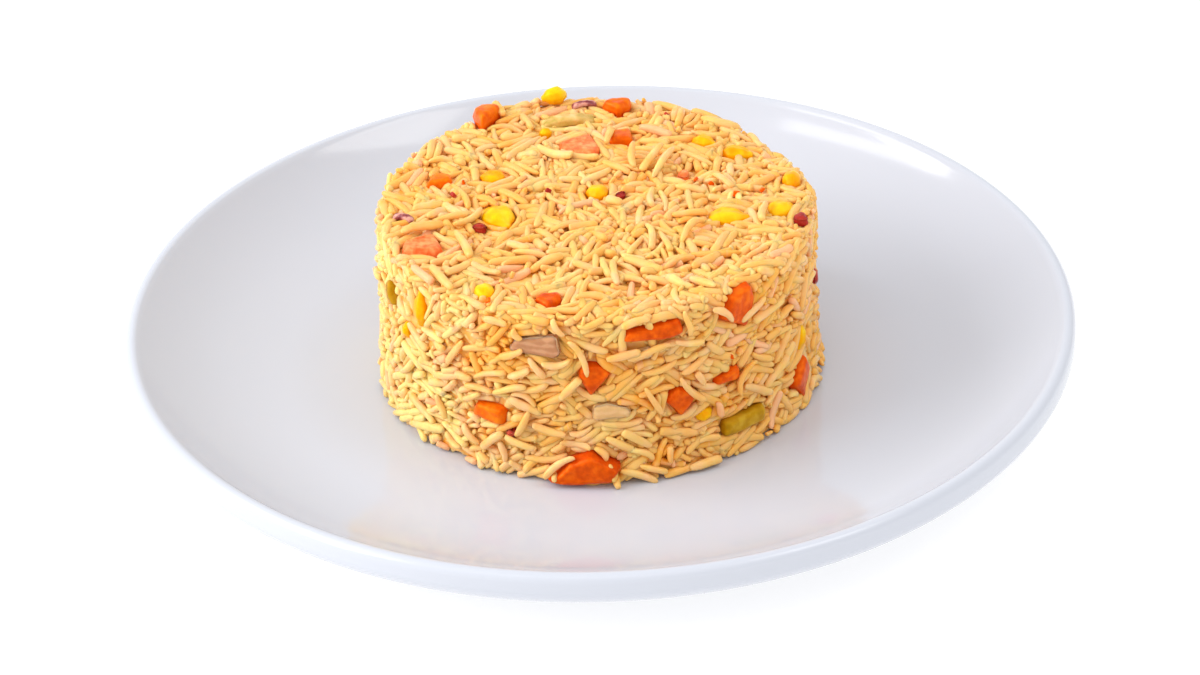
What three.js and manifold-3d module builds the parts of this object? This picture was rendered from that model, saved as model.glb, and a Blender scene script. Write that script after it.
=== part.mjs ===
// A round of yellow rice with diced vegetables, turned out of a ring mould onto a white coupe plate.
//
// Millimetres, +Z up. The origin is under the plate's centre, on the surface that the plate stands on.
// -Y is the side that the diner sees. The plate is one turned solid, the rice is one heap with a
// relief of grains, and each vegetable piece is a solid of its own in a pocket of the rice.

import * as THREE from "three";
import { mergeVertices } from "three/addons/utils/BufferGeometryUtils.js";
import Module from "manifold-3d";

const wasm = await Module();
wasm.setup();

// Driving dimensions of the plate
const PLATE_RADIUS = 133;
const PLATE_HEIGHT = 24.5;
const WELL_RADIUS = 88; // the flat middle, which the rim rises from
const WELL_LEVEL = 8; // the well's upper face
const WELL_THICKNESS = 5;
const FOOT_RADIUS = 80;
const FOOT_WIDTH = 5;
const LIP_RADIUS = 2.3; // the rounded edge
const LIP_WALL = 2.7; // the upright face under the edge
const PLATE_SEGMENTS = 48;

// Driving dimensions of the rice
const MOULD_RADIUS = 61;
const MOULD_HEIGHT = 52.5;
const GRAIN_LENGTH = 9.5;
const GRAIN_WIDTH = 2.4;
const NET_RINGS = 16; // rings of the triangle net across the top, a little under half a grain apart
const SHOULDER = 1.4; // how far the top edge is rounded off
const BUMP_LOW = -1.5; // valleys between the grains, against the mould's face
const BUMP_HIGH = [-0.3, 0.9]; // crests of the grains
const STRAY_GRAINS = { top: 8, shoulder: 14, side: 14, foot: 8 };
const FOOT_SPREAD = 1.8; // how far the foot has slumped outwards
const FOOT_HEIGHT = 9; // the height over which it does so
// Where the top edge was lifted or knocked down when the mould came off: azimuth, how wide, how far up
const EDGE_LIFTS = [
  { azimuth: 113, spread: 26, rise: 2 },
  { azimuth: 33, spread: 17, rise: -3 },
];
const EDGE_FROM = 36; // the lifts fade out between the edge and this distance from the middle

// Gap between solids that touch
const GAP = 0.3;

const TOP_LEVEL = WELL_LEVEL + MOULD_HEIGHT;
const BASE_LEVEL = WELL_LEVEL + GAP;

// A seeded source of even random numbers from 0 to 1.
function randomSource(seed) {
  let state = seed;
  return () => {
    state = (state + 0x6d2b79f5) | 0;
    let t = Math.imul(state ^ (state >>> 15), 1 | state);
    t = (t + Math.imul(t ^ (t >>> 7), 61 | t)) ^ t;
    return ((t ^ (t >>> 14)) >>> 0) / 4294967296;
  };
}

const between = (random, low, high) => low + (high - low) * random();

// How far the top lies above its level at a place, from the lifts along its edge.
function topRise(x, y) {
  const azimuth = THREE.MathUtils.radToDeg(Math.atan2(y, x));
  const nearEdge = THREE.MathUtils.smoothstep(Math.hypot(x, y), EDGE_FROM, MOULD_RADIUS);
  const rise = (lift) => lift.rise * Math.exp(-(((azimuth - lift.azimuth) / lift.spread) ** 2));
  return nearEdge * EDGE_LIFTS.reduce((sum, lift) => sum + rise(lift), 0);
}

// How far the foot stands out of the mould's face at a level.
const footSpread = (z) => FOOT_SPREAD * (1 - THREE.MathUtils.smoothstep(z, BASE_LEVEL, BASE_LEVEL + FOOT_HEIGHT));

// A closed geometry as a solid that can be joined and cut.
function solidOf(geometry) {
  const bare = new THREE.BufferGeometry().setAttribute("position", geometry.getAttribute("position"));
  bare.setIndex(geometry.index);
  const merged = mergeVertices(bare, 1e-4);
  return new wasm.Manifold(
    new wasm.Mesh({
      numProp: 3,
      vertProperties: merged.attributes.position.array,
      triVerts: new Uint32Array(merged.index.array),
    }),
  );
}

function geometryOf(solid) {
  const mesh = solid.getMesh();
  const geometry = new THREE.BufferGeometry();
  geometry.setAttribute("position", new THREE.BufferAttribute(mesh.vertProperties, 3));
  geometry.setIndex(new THREE.BufferAttribute(mesh.triVerts, 1));
  geometry.computeVertexNormals();
  return geometry;
}

// The plate, turned from its section: foot ring, swept underside, upright edge, lip, bowl and well.
function plateGeometry() {
  const underside = WELL_LEVEL - WELL_THICKNESS;
  const footInner = FOOT_RADIUS - FOOT_WIDTH;
  const lipCentre = { r: PLATE_RADIUS - LIP_RADIUS, z: PLATE_HEIGHT - LIP_RADIUS };
  const lipEnd = (2 * Math.PI) / 3;
  const innerEdge = {
    r: lipCentre.r + LIP_RADIUS * Math.cos(lipEnd),
    z: lipCentre.z + LIP_RADIUS * Math.sin(lipEnd),
  };
  const point = (r, z) => new THREE.Vector2(r, z);
  const underCurve = new THREE.CubicBezierCurve(
    point(FOOT_RADIUS + 1.5, underside),
    point(112, underside + 0.5),
    point(PLATE_RADIUS, 13),
    point(PLATE_RADIUS, lipCentre.z - LIP_WALL),
  );
  const lipCurve = new THREE.EllipseCurve(lipCentre.r, lipCentre.z, LIP_RADIUS, LIP_RADIUS, 0, lipEnd);
  const bowlCurve = new THREE.CubicBezierCurve(
    point(innerEdge.r, innerEdge.z),
    point(innerEdge.r - 8, innerEdge.z - 8),
    point(108, WELL_LEVEL),
    point(WELL_RADIUS, WELL_LEVEL),
  );
  const section = [
    point(0, underside),
    point(footInner - 1, underside),
    point(footInner, 0),
    point(FOOT_RADIUS, 0),
    ...underCurve.getPoints(4),
    ...lipCurve.getPoints(4),
    ...bowlCurve.getPoints(5).slice(1),
    point(0, WELL_LEVEL),
  ];
  const lathe = new THREE.LatheGeometry(section, PLATE_SEGMENTS);
  return lathe.rotateX(Math.PI / 2);
}

// The bare round of rice: a net of nearly even triangles over the top, down the side and under the base.
// Each vertex keeps the way out of the mould's face, and those on the plate stay flat.
function riceNet() {
  const around = 6 * NET_RINGS;
  const rows = Math.round(MOULD_HEIGHT / ((MOULD_RADIUS / NET_RINGS) * Math.sin(Math.PI / 3) * 1.05));
  const spots = [];
  const faces = [];
  const ring = (k, i) => (k === 0 ? 0 : 1 + 3 * k * (k - 1) + (i % (6 * k)));
  for (let k = 0; k <= NET_RINGS; k++) {
    const radius = (MOULD_RADIUS * k) / NET_RINGS;
    const edge = k === NET_RINGS;
    for (let i = 0; i < Math.max(1, 6 * k); i++) {
      const angle = k === 0 ? 0 : (2 * Math.PI * i) / (6 * k);
      const across = new THREE.Vector3(Math.cos(angle), Math.sin(angle), 0);
      const drop = edge ? SHOULDER : 0;
      spots.push({
        at: across.clone().multiplyScalar(radius - drop).setZ(TOP_LEVEL - drop),
        out: edge ? across.clone().setZ(1).normalize() : new THREE.Vector3(0, 0, 1),
      });
    }
  }
  for (let k = 1; k <= NET_RINGS; k++) {
    for (let sector = 0; sector < 6; sector++) {
      for (let i = 0; i < k; i++) {
        const outer = ring(k, sector * k + i);
        const next = ring(k, sector * k + i + 1);
        const inner = ring(k - 1, sector * (k - 1) + i);
        faces.push([outer, next, inner]);
        if (i < k - 1) faces.push([next, ring(k - 1, sector * (k - 1) + i + 1), inner]);
      }
    }
  }
  const shoulder = ring(NET_RINGS, 0);
  const side = (row, i) => shoulder + row * around + (i % around);
  for (let row = 1; row <= rows; row++) {
    const z = TOP_LEVEL - ((TOP_LEVEL - BASE_LEVEL) * row) / rows;
    for (let i = 0; i < around; i++) {
      const angle = (2 * Math.PI * (i + (row % 2) / 2)) / around;
      const out = new THREE.Vector3(Math.cos(angle), Math.sin(angle), 0);
      spots.push({ at: out.clone().multiplyScalar(MOULD_RADIUS).setZ(z), out, flat: row === rows });
    }
    for (let i = 0; i < around; i++) {
      const [a, b, c, d] = [side(row - 1, i), side(row - 1, i + 1), side(row, i), side(row, i + 1)];
      if (row % 2) faces.push([a, c, b], [b, c, d]);
      else faces.push([a, c, d], [a, d, b]);
    }
  }
  const centre = spots.length;
  spots.push({ at: new THREE.Vector3(0, 0, BASE_LEVEL), out: new THREE.Vector3(0, 0, -1), flat: true });
  for (let i = 0; i < around; i++) faces.push([side(rows, i), centre, side(rows, i + 1)]);
  return { spots, faces };
}

// Raises grains on the net. A grain is a crest along three vertices in a line, which is a cooked
// grain's length, and part of the vertices round it sink into the valleys between the grains.
function raiseGrains({ spots, faces }, random) {
  const neighbours = spots.map(() => new Set());
  for (const face of faces) {
    face.forEach((v, i) => neighbours[v].add(face[(i + 1) % 3]).add(face[(i + 2) % 3]));
  }
  const free = (v) => spots[v].height === undefined && !spots[v].flat;
  const order = spots.map((_, v) => v).sort((a, b) => a - b);
  for (let i = order.length - 1; i > 0; i--) {
    const j = Math.floor(random() * (i + 1));
    [order[i], order[j]] = [order[j], order[i]];
  }
  for (const first of order) {
    if (!free(first)) continue;
    const open = [...neighbours[first]].filter(free);
    if (!open.length) continue;
    const middle = open[Math.floor(random() * open.length)];
    const along = spots[middle].at.clone().sub(spots[first].at).normalize();
    const straightness = (v) => spots[v].at.clone().sub(spots[middle].at).normalize().dot(along);
    const last = [...neighbours[middle]].filter(free).sort((a, b) => straightness(b) - straightness(a))[0];
    if (last === undefined || straightness(last) < 0.6) continue;
    const crest = between(random, ...BUMP_HIGH);
    spots[first].height = crest - 0.25;
    spots[middle].height = crest;
    spots[last].height = crest - 0.25;
    for (const v of [first, middle, last].flatMap((u) => [...neighbours[u]])) {
      if (free(v) && random() < 0.45) spots[v].height = BUMP_LOW;
    }
  }
}

function riceCore() {
  const random = randomSource(11);
  const net = riceNet();
  raiseGrains(net, random);
  const jitter = () => between(random, -0.4, 0.4);
  for (const { at } of net.spots) {
    const share = (at.z - BASE_LEVEL) / (TOP_LEVEL - BASE_LEVEL);
    at.z += topRise(at.x, at.y) * Math.max(0, share) ** 3;
    at.addScaledVector(new THREE.Vector3(at.x, at.y, 0).normalize(), at.length() > 1 ? footSpread(at.z) : 0);
  }
  const positions = net.spots.flatMap((spot) => {
    if (spot.flat) return spot.at.toArray();
    const height = spot.height === undefined ? BUMP_LOW * random() : spot.height;
    const aside = new THREE.Vector3(jitter(), jitter(), jitter()).projectOnPlane(spot.out);
    return spot.at.clone().addScaledVector(spot.out, height).add(aside).toArray();
  });
  const geometry = new THREE.BufferGeometry();
  geometry.setAttribute("position", new THREE.Float32BufferAttribute(positions, 3));
  geometry.setIndex(net.faces.flat());
  return solidOf(geometry);
}

// A place on the mould's face. On the side, x runs round to the right, y up and z out; on top, x and y
// are the plate's own and z is up. sink is how far the middle of the thing lies under the face.
function placeOnRice({ on, azimuth, from, turn = 0, lean = 0, sink = 0 }) {
  const angle = THREE.MathUtils.degToRad(azimuth);
  const out = new THREE.Vector3(Math.cos(angle), Math.sin(angle), 0);
  const basis = new THREE.Matrix4();
  if (on === "side") {
    const round = new THREE.Vector3(-out.y, out.x, 0);
    basis.makeBasis(round, new THREE.Vector3(0, 0, 1), out);
    const face = MOULD_RADIUS + footSpread(WELL_LEVEL + from);
    basis.setPosition(out.clone().multiplyScalar(face - sink).setZ(WELL_LEVEL + from));
  } else {
    const middle = out.clone().multiplyScalar(from);
    basis.setPosition(middle.setZ(TOP_LEVEL + topRise(middle.x, middle.y) - sink));
  }
  basis.multiply(new THREE.Matrix4().makeRotationZ(THREE.MathUtils.degToRad(turn)));
  return basis.multiply(new THREE.Matrix4().makeRotationY(THREE.MathUtils.degToRad(lean)));
}

// One loose grain: pointed at both ends, slightly curved, lying along x.
function grainGeometry(random) {
  const length = GRAIN_LENGTH * between(random, 0.8, 1.1);
  const radius = (GRAIN_WIDTH / 2) * between(random, 0.9, 1.1);
  const bend = between(random, 0, 0.8);
  const section = [
    [0, -0.5],
    [0.7, -0.34],
    [1, 0],
    [0.72, 0.33],
    [0, 0.5],
  ].map(([r, y]) => new THREE.Vector2(r * radius, y * length));
  const geometry = new THREE.LatheGeometry(section, 5);
  const position = geometry.getAttribute("position");
  for (let i = 0; i < position.count; i++) {
    const share = (2 * position.getY(i)) / length;
    position.setX(i, position.getX(i) + bend * (1 - share * share));
  }
  return geometry.rotateZ(Math.PI / 2);
}

// Grains that stand out of the round: on top, over the shoulder, on the side and at the foot.
function strayGrains(keepClear) {
  const random = randomSource(29);
  const zones = {
    top: () => ({ on: "top", from: 55 * Math.sqrt(random()), lean: between(random, -8, 8) }),
    shoulder: () => ({ on: "top", from: between(random, 56.5, 58), lean: between(random, -12, 12) }),
    side: () => ({ on: "side", from: between(random, 8, 49), lean: between(random, -14, 14) }),
    foot: () => ({ on: "side", from: between(random, 2.2, 4), lean: between(random, -10, 10) }),
  };
  const grains = [];
  for (const [zone, wanted] of Object.entries(STRAY_GRAINS)) {
    for (let made = 0, tries = 0; made < wanted && tries < 20 * wanted; tries++) {
      const low = zone === "foot";
      const turn = low ? between(random, -12, 12) : between(random, 0, 180);
      const azimuth = (360 * (made + random())) / wanted;
      const place = placeOnRice({ ...zones[zone](), azimuth, turn, sink: between(random, -0.7, 0.1) });
      const grain = solidOf(grainGeometry(random).applyMatrix4(place));
      if (!grain.intersect(keepClear).isEmpty() || grain.boundingBox().min[2] < BASE_LEVEL) continue;
      grains.push(grain);
      made++;
    }
  }
  return grains;
}

// Outlines of knife-cut pieces, as seen from outside: corners in shares of the length and the width,
// counter-clockwise. All are convex.
const CUTS = {
  block: [
    [-0.5, -0.42],
    [0.46, -0.5],
    [0.5, 0.44],
    [-0.44, 0.5],
  ],
  wedge: [
    [-0.5, -0.5],
    [0.5, -0.22],
    [0.44, 0.18],
    [0.08, 0.5],
    [-0.3, 0.3],
  ],
  kite: [
    [0.12, -0.5],
    [0.46, 0.1],
    [0.4, 0.5],
    [-0.2, 0.46],
    [-0.5, 0.02],
  ],
  plank: [
    [-0.5, -0.2],
    [0.3, -0.5],
    [0.5, -0.3],
    [0.48, 0.5],
    [-0.4, 0.36],
  ],
  blade: [
    [0.16, -0.5],
    [0.5, 0.14],
    [0.26, 0.5],
    [-0.14, 0.34],
    [-0.5, 0.0],
  ],
  prow: [
    [-0.5, -0.42],
    [-0.1, -0.5],
    [0.44, -0.36],
    [0.5, 0.04],
    [0.16, 0.5],
    [-0.16, 0.28],
  ],
  hull: [
    [-0.5, -0.5],
    [0.5, -0.5],
    [0.5, 0.1],
    [-0.06, 0.5],
    [-0.5, 0.44],
  ],
};
const CUT_UNEVENNESS = 0.05; // how far a corner may be out of place, in shares of the size
const EDGE_ROUNDING = 0.7; // a piece's outer and inner face are smaller than its middle by this

// Moves the sides of a convex outline outwards by a distance.
function grownOutline(corners, by) {
  const normals = corners.map((corner, i) => {
    const along = corners[(i + 1) % corners.length].clone().sub(corner).normalize();
    return new THREE.Vector2(along.y, -along.x);
  });
  return corners.map((corner, i) => {
    const [before, after] = [normals[(i + corners.length - 1) % corners.length], normals[i]];
    const shift = before.clone().add(after);
    return corner.clone().addScaledVector(shift, by / (1 + before.dot(after)));
  });
}

// The shapes of the vegetable pieces. Each takes length, width and depth, a random source that gives
// each piece its own unevenness, and the name of its cut. A pocket is the same shape, a gap larger.
const SHAPES = {
  // A knife-cut piece: its outline drawn through its depth, with both faces a little smaller.
  slab([length, width, depth], random, grow, cut) {
    const uneven = () => between(random, -CUT_UNEVENNESS, CUT_UNEVENNESS);
    const corners = CUTS[cut].map(([x, y]) => new THREE.Vector2((x + uneven()) * length, (y + uneven()) * width));
    const rounding = Math.min(EDGE_ROUNDING, 0.12 * Math.min(length, width));
    const rings = [
      { z: -depth / 2 - grow, corners: grownOutline(corners, grow - rounding) },
      { z: 0.12 * depth, corners: grownOutline(corners, grow) },
      { z: depth / 2 + grow, corners: grownOutline(corners, grow - rounding) },
    ];
    const count = corners.length;
    const positions = rings.flatMap((ring) => ring.corners.flatMap((corner) => [corner.x, corner.y, ring.z]));
    const faces = [];
    for (let i = 0; i < count; i++) {
      const next = (i + 1) % count;
      for (const low of [0, count]) {
        const high = low + count;
        faces.push(low + i, low + next, high + next, low + i, high + next, high + i);
      }
      if (i > 0 && i < count - 1) faces.push(0, i + 1, i, 2 * count, 2 * count + i, 2 * count + i + 1);
    }
    const geometry = new THREE.BufferGeometry();
    geometry.setAttribute("position", new THREE.Float32BufferAttribute(positions, 3));
    return geometry.setIndex(faces);
  },
  // A kernel of maize: broad and domed at one end, narrowing to its tip. A split one comes to a point.
  kernel([length, width, depth], random, grow, cut) {
    const geometry = new THREE.SphereGeometry(1, 7, 4).rotateZ(Math.PI / 2);
    const position = geometry.getAttribute("position");
    const narrow = cut === "split" ? 0.75 : between(random, 0.35, 0.5);
    for (let i = 0; i < position.count; i++) {
      const [x, y, z] = [position.getX(i), position.getY(i), position.getZ(i)];
      const taper = 1 - narrow * Math.max(0, x) - 0.08 * Math.max(0, -x);
      const full = (v) => Math.sign(v) * Math.pow(Math.abs(v), 0.8);
      position.setXYZ(
        i,
        x * (length / 2 + grow),
        full(y) * (width / 2) * taper + y * grow,
        full(z) * (depth / 2) * taper + z * grow,
      );
    }
    return geometry;
  },
  // A thin strip, curved along its length.
  strip([length, width, depth], random, grow) {
    const geometry = new THREE.BoxGeometry(length + 2 * grow, width + 2 * grow, depth + 2 * grow, 3, 1, 1);
    const position = geometry.getAttribute("position");
    const bow = between(random, 0.06, 0.14) * length;
    const slant = between(random, -0.15, 0.15);
    for (let i = 0; i < position.count; i++) {
      const share = (2 * position.getX(i)) / length;
      position.setX(i, position.getX(i) + slant * position.getY(i));
      position.setZ(i, position.getZ(i) - bow * (share * share - 0.4));
    }
    return geometry;
  },
};

// The vegetable pieces that show from the diner's side. proud is how far the piece stands out of the
// mould's face. On top, from is the distance from the middle; on the side, the height over the well.
function placed(on) {
  return (kind, azimuth, from, size, turn, proud, cut) => ({ kind, on, azimuth, from, size, turn, proud, cut });
}
const top = placed("top");
const side = placed("side");
const PIECES = [
  top("carrot", 122, 57, [9.5, 8.5, 8], 35, 2.8, "wedge"),
  top("carrot", 82.7, 53.6, [9, 7, 6], -12, 2.2, "kite"),
  top("carrot", 79, 38.5, [7.5, 7.5, 6], 10, 1, "block"),
  top("carrot", 97.3, 33.2, [12, 12, 6], 15, 0.5, "plank"),
  top("carrot", 159, 46.5, [8.5, 8, 6], 0, 0.8, "wedge"),
  top("carrot", -158.6, 52, [11.5, 10.5, 6], 12, 0.7, "plank"),
  top("carrot", -105.5, 52, [8, 7.5, 6], 0, 0.6, "kite"),
  top("carrot", 31, 29, [5, 5, 4], 20, 0.4, "kite"),
  side("carrot", -76.4, 45.4, [17, 6, 6], 3, 0.5, "plank"),
  side("carrot", -51, 44.5, [12.5, 14.5, 7], 8, 0.6, "kite"),
  side("carrot", -92.3, 33, [10, 10.5, 7], 38, 0.5, "wedge"),
  side("carrot", -69.3, 22.2, [10, 9.8, 7], -10, 0.5, "kite"),
  side("carrot", -55.2, 25.2, [9, 4.4, 6], 6, 0.4, "plank"),
  side("carrot", -25, 9, [11, 15, 7], -6, 1, "blade"),
  side("carrot", -120.7, 18, [10.5, 6, 6], -4, 0.6, "block"),
  side("carrot", -95.8, 5.3, [20.5, 9.6, 9], 0, 3.2, "prow"),
  top("corn", 100.9, 57.5, [8.5, 6, 5.5], -155, 4, "whole"),
  top("corn", 48.5, 47.1, [8.5, 6, 5], -30, 0.8, "whole"),
  top("corn", 36.4, 49.9, [9.5, 7, 5], -12, 1.2, "whole"),
  top("corn", 147.5, 33.9, [8, 8, 5], 160, 1, "whole"),
  top("corn", 85, 8, [8, 8, 5], 70, 1.1, "whole"),
  top("corn", -171, 27, [13.5, 11, 6], -62, 1.4, "split"),
  top("corn", -11.6, 37.7, [12, 9, 5], 0, 0.9, "split"),
  top("corn", -5, 51.5, [9, 7.5, 5], 40, 1.1, "whole"),
  top("corn", 12, 56, [8, 6, 6], 84, 2, "whole"),
  top("corn", -125.7, 53.2, [7.5, 6.5, 5], 100, 0.9, "whole"),
  side("corn", -144.8, 41.5, [12, 4.8, 5], 86, 0.6, "whole"),
  side("corn", -23, 21.6, [9, 4.6, 5], 66, 0.7, "whole"),
  side("corn", -62.4, 16, [6, 5, 5], 20, 0.5, "whole"),
  side("corn", -152, 31, [5, 3.6, 4], 100, 0.5, "whole"),
  top("corn", 107.6, 43.9, [4.6, 4, 4], 30, 0.5, "whole"),
  top("green_bean", 98.1, 47.7, [15, 4, 3], 8, 0.6),
  side("green_bean", -50.4, 9.2, [15.4, 5.6, 5], 1, 1, "block"),
  side("green_bean", -160.5, 38, [7, 3, 3], -60, 0.5),
  side("onion", -107, 42.2, [15, 8, 2.6], 6, 0.3, "plank"),
  side("onion", -80, 39.4, [7.5, 3.6, 2.6], 3, 0.2, "plank"),
  side("onion", -87.5, 22.4, [11, 5.6, 3], 4, 0.4, "hull"),
  top("red_pepper", -12, 57.8, [6, 6, 3.5], 42, 1, "kite"),
  top("red_pepper", 32, 8.4, [4, 4, 3], 20, 0.3, "kite"),
  top("red_pepper", -163, 33.5, [5, 4, 3], -30, 0.3, "wedge"),
  side("red_pepper", -114.7, 12.9, [3.8, 3.6, 3], 20, 0.3, "wedge"),
  side("red_pepper", -8, 31, [5, 6.5, 3], 10, 0.5, "blade"),
  top("red_onion", -176.1, 53.2, [6.5, 2.2, 2], -30, 0.6),
  top("red_onion", 92.4, 55, [7, 2.2, 2], 12, 0.8),
];

// Round the back the pieces go on in the same mix and at the same density, by a rule.
const BACK_MIX = ["carrot", "corn", "carrot", "onion", "carrot", "green_bean", "carrot", "corn"];
const BACK_SIZES = { carrot: [9, 8, 7], corn: [9, 6, 5], onion: [11, 5, 2.6], green_bean: [11, 6, 4] };
const BACK_LEVELS = [14, 37, 25, 44, 11, 33, 21, 41];
const BACK_CUTS = ["wedge", "whole", "block", "plank", "kite", "hull", "plank", "whole"];
const BACK_FROM = 14; // the azimuths between which they lie
const BACK_TO = 180;
function backPieces() {
  const random = randomSource(5);
  return BACK_MIX.map((kind, i) =>
    side(
      kind,
      BACK_FROM + ((BACK_TO - BACK_FROM) * i) / BACK_MIX.length + between(random, -3, 3),
      BACK_LEVELS[i % BACK_LEVELS.length] + between(random, -2, 2),
      BACK_SIZES[kind].map((size) => size * between(random, 0.85, 1.15)),
      between(random, -60, 60),
      between(random, 0.2, 0.7),
      BACK_CUTS[i % BACK_CUTS.length],
    ),
  );
}

function pieceGeometry(piece, seed, grow = 0) {
  const form = piece.kind === "corn" ? "kernel" : piece.cut ? "slab" : "strip";
  const geometry = SHAPES[form](piece.size, randomSource(seed), grow, piece.cut);
  return geometry.applyMatrix4(placeOnRice({ ...piece, sink: piece.size[2] / 2 - piece.proud }));
}

// Finishes: colour, roughness
const FINISHES = {
  plate: new THREE.MeshStandardMaterial({ color: 0xf1f1f5, roughness: 0.12, metalness: 0 }),
  rice: new THREE.MeshStandardMaterial({ color: 0xf5c878, roughness: 0.5, metalness: 0 }),
  carrot: new THREE.MeshStandardMaterial({ color: 0xf0701c, roughness: 0.45, metalness: 0 }),
  corn: new THREE.MeshStandardMaterial({ color: 0xfabf14, roughness: 0.35, metalness: 0 }),
  green_bean: new THREE.MeshStandardMaterial({ color: 0xb08c16, roughness: 0.4, metalness: 0 }),
  onion: new THREE.MeshStandardMaterial({ color: 0xe0b090, roughness: 0.35, metalness: 0 }),
  red_onion: new THREE.MeshStandardMaterial({ color: 0x7c3444, roughness: 0.4, metalness: 0 }),
  red_pepper: new THREE.MeshStandardMaterial({ color: 0xa83428, roughness: 0.35, metalness: 0 }),
};

function named(name, geometry, material) {
  const mesh = new THREE.Mesh(geometry, material);
  mesh.name = name;
  return mesh;
}

const dish = new THREE.Group();
dish.add(named("plate", plateGeometry(), FINISHES.plate));

const counts = {};
const pockets = [];
[...PIECES, ...backPieces()].forEach((piece, i) => {
  const number = (counts[piece.kind] = (counts[piece.kind] || 0) + 1);
  const name = `${piece.kind}_${String(number).padStart(2, "0")}`;
  dish.add(named(name, pieceGeometry(piece, i + 1), FINISHES[piece.kind]));
  pockets.push(solidOf(pieceGeometry(piece, i + 1, GAP)));
});

const pocket = wasm.Manifold.union(pockets);
const heap = wasm.Manifold.union([riceCore(), ...strayGrains(pocket)]).subtract(pocket);
const [round] = heap.decompose().sort((a, b) => b.volume() - a.volume());
dish.add(named("rice", geometryOf(round), FINISHES.rice));

export default dish;
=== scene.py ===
# %% [markdown]
# # A round of vegetable rice on a white plate
#
# The dish is yellow rice with diced carrot, sweetcorn, green bean, onion and red pepper. It was pressed
# into a ring mould and turned out in the middle of a white coupe plate. This notebook dresses the packed
# solids: it keeps their places and sizes, and gives each of them its real surface. Lengths are in metres,
# with Z up and the origin under the plate. -Y is the side that the diner sees.

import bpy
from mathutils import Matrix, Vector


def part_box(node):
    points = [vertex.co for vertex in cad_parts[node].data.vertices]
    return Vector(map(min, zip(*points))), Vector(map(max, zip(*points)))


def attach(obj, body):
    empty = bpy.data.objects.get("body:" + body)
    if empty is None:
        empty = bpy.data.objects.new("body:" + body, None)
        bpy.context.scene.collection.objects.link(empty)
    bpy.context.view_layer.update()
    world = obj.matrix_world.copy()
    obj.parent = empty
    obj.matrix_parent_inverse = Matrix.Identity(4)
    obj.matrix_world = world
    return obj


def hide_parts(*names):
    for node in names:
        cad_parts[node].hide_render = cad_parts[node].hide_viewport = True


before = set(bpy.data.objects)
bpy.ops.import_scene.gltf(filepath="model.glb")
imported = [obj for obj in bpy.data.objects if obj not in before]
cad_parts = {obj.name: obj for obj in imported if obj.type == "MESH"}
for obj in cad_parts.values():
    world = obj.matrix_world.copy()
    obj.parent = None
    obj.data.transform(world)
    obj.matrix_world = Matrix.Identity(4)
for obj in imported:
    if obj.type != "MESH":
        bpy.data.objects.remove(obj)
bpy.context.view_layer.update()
print("nodes in the frame:", len(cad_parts))

# %% Modules and units
from math import cos, pi, radians, sin, tau

import bmesh
import bpy
import numpy as np
from mathutils import Matrix, Vector, noise

MM = 0.001
MERGED_WITHIN = 1e-6  # points that are nearer than this become one

# %% [markdown]
# ## Sizes read from the solids
#
# The plate's radius and height, and the round of rice's place, come from the solids, so a change there
# is followed here. The rice's own solid has a rough outline, so its even mould sizes are named again.

# %% Driving sizes
plate_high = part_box("plate")[1]
rice_low, rice_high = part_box("rice")
PLATE_RADIUS = plate_high.x
PLATE_HEIGHT = plate_high.z
MOULD_RADIUS = 61 * MM
MOULD_TOP = 60.5 * MM
BASE_LEVEL = rice_low.z
print("plate radius in mm:", round(PLATE_RADIUS / MM, 1))
print("rice from", round(BASE_LEVEL / MM, 2), "to", round(rice_high.z / MM, 1))

# %% [markdown]
# ## Camera
#
# The picture was taken with a long lens from a little over 30 degrees, and the camera was tipped by two
# degrees, so the plate's right side sits higher than its left. The camera looks along +Y.

# %% Camera
CAMERA_ELEVATION = radians(31.4)
CAMERA_ROLL = radians(-1.95)
CAMERA_DISTANCE = 1.8
CAMERA_LENS = 193  # mm
SENSOR_WIDTH = 36  # mm
AIM = Vector((0, 0, 24.5 * MM))
AIM_BELOW_CENTRE = 6.4 * MM  # the plate's middle sits above the picture's middle by this much

camera_data = bpy.data.cameras.new("camera")
camera_data.sensor_fit = "HORIZONTAL"
camera_data.sensor_width = SENSOR_WIDTH
camera_data.lens = CAMERA_LENS
camera = bpy.data.objects.new("camera", camera_data)
bpy.context.scene.collection.objects.link(camera)
away = Vector((0, -cos(CAMERA_ELEVATION), sin(CAMERA_ELEVATION)))
upward = Vector((0, sin(CAMERA_ELEVATION), cos(CAMERA_ELEVATION)))
camera.location = AIM + away * CAMERA_DISTANCE - upward * AIM_BELOW_CENTRE
facing = Matrix.Rotation(pi / 2 - CAMERA_ELEVATION, 3, "X") @ Matrix.Rotation(CAMERA_ROLL, 3, "Z")
camera.rotation_euler = facing.to_euler()
bpy.context.scene.camera = camera
print("camera at", [round(x, 3) for x in camera.location])

# %% [markdown]
# ## Helpers for materials and pieces
#
# Every finish is a small node tree on a Principled shader. `material` makes one and sets the values that
# are the same all over, and the helpers after it add noise, colour ramps and bumps. `piece_from` turns a
# bmesh into an object that rides on the dish.

# %% Helpers
def material(name, **values):
    made = bpy.data.materials.new(name)
    made.use_nodes = True
    shader = made.node_tree.nodes["Principled BSDF"]
    for key, value in values.items():
        shader.inputs[key.replace("_", " ").title().replace("Ior", "IOR")].default_value = value
    return made, made.node_tree, shader


def node(tree, kind, links=(), **settings):
    """Adds a node. links is a list of (own input, source output); settings are its fields or inputs."""
    made = tree.nodes.new(kind)
    for key, value in settings.items():
        if hasattr(made, key):
            setattr(made, key, value)
        else:
            made.inputs[key].default_value = value
    for own, source in links:
        tree.links.new(source, made.inputs[own])
    return made


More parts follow.
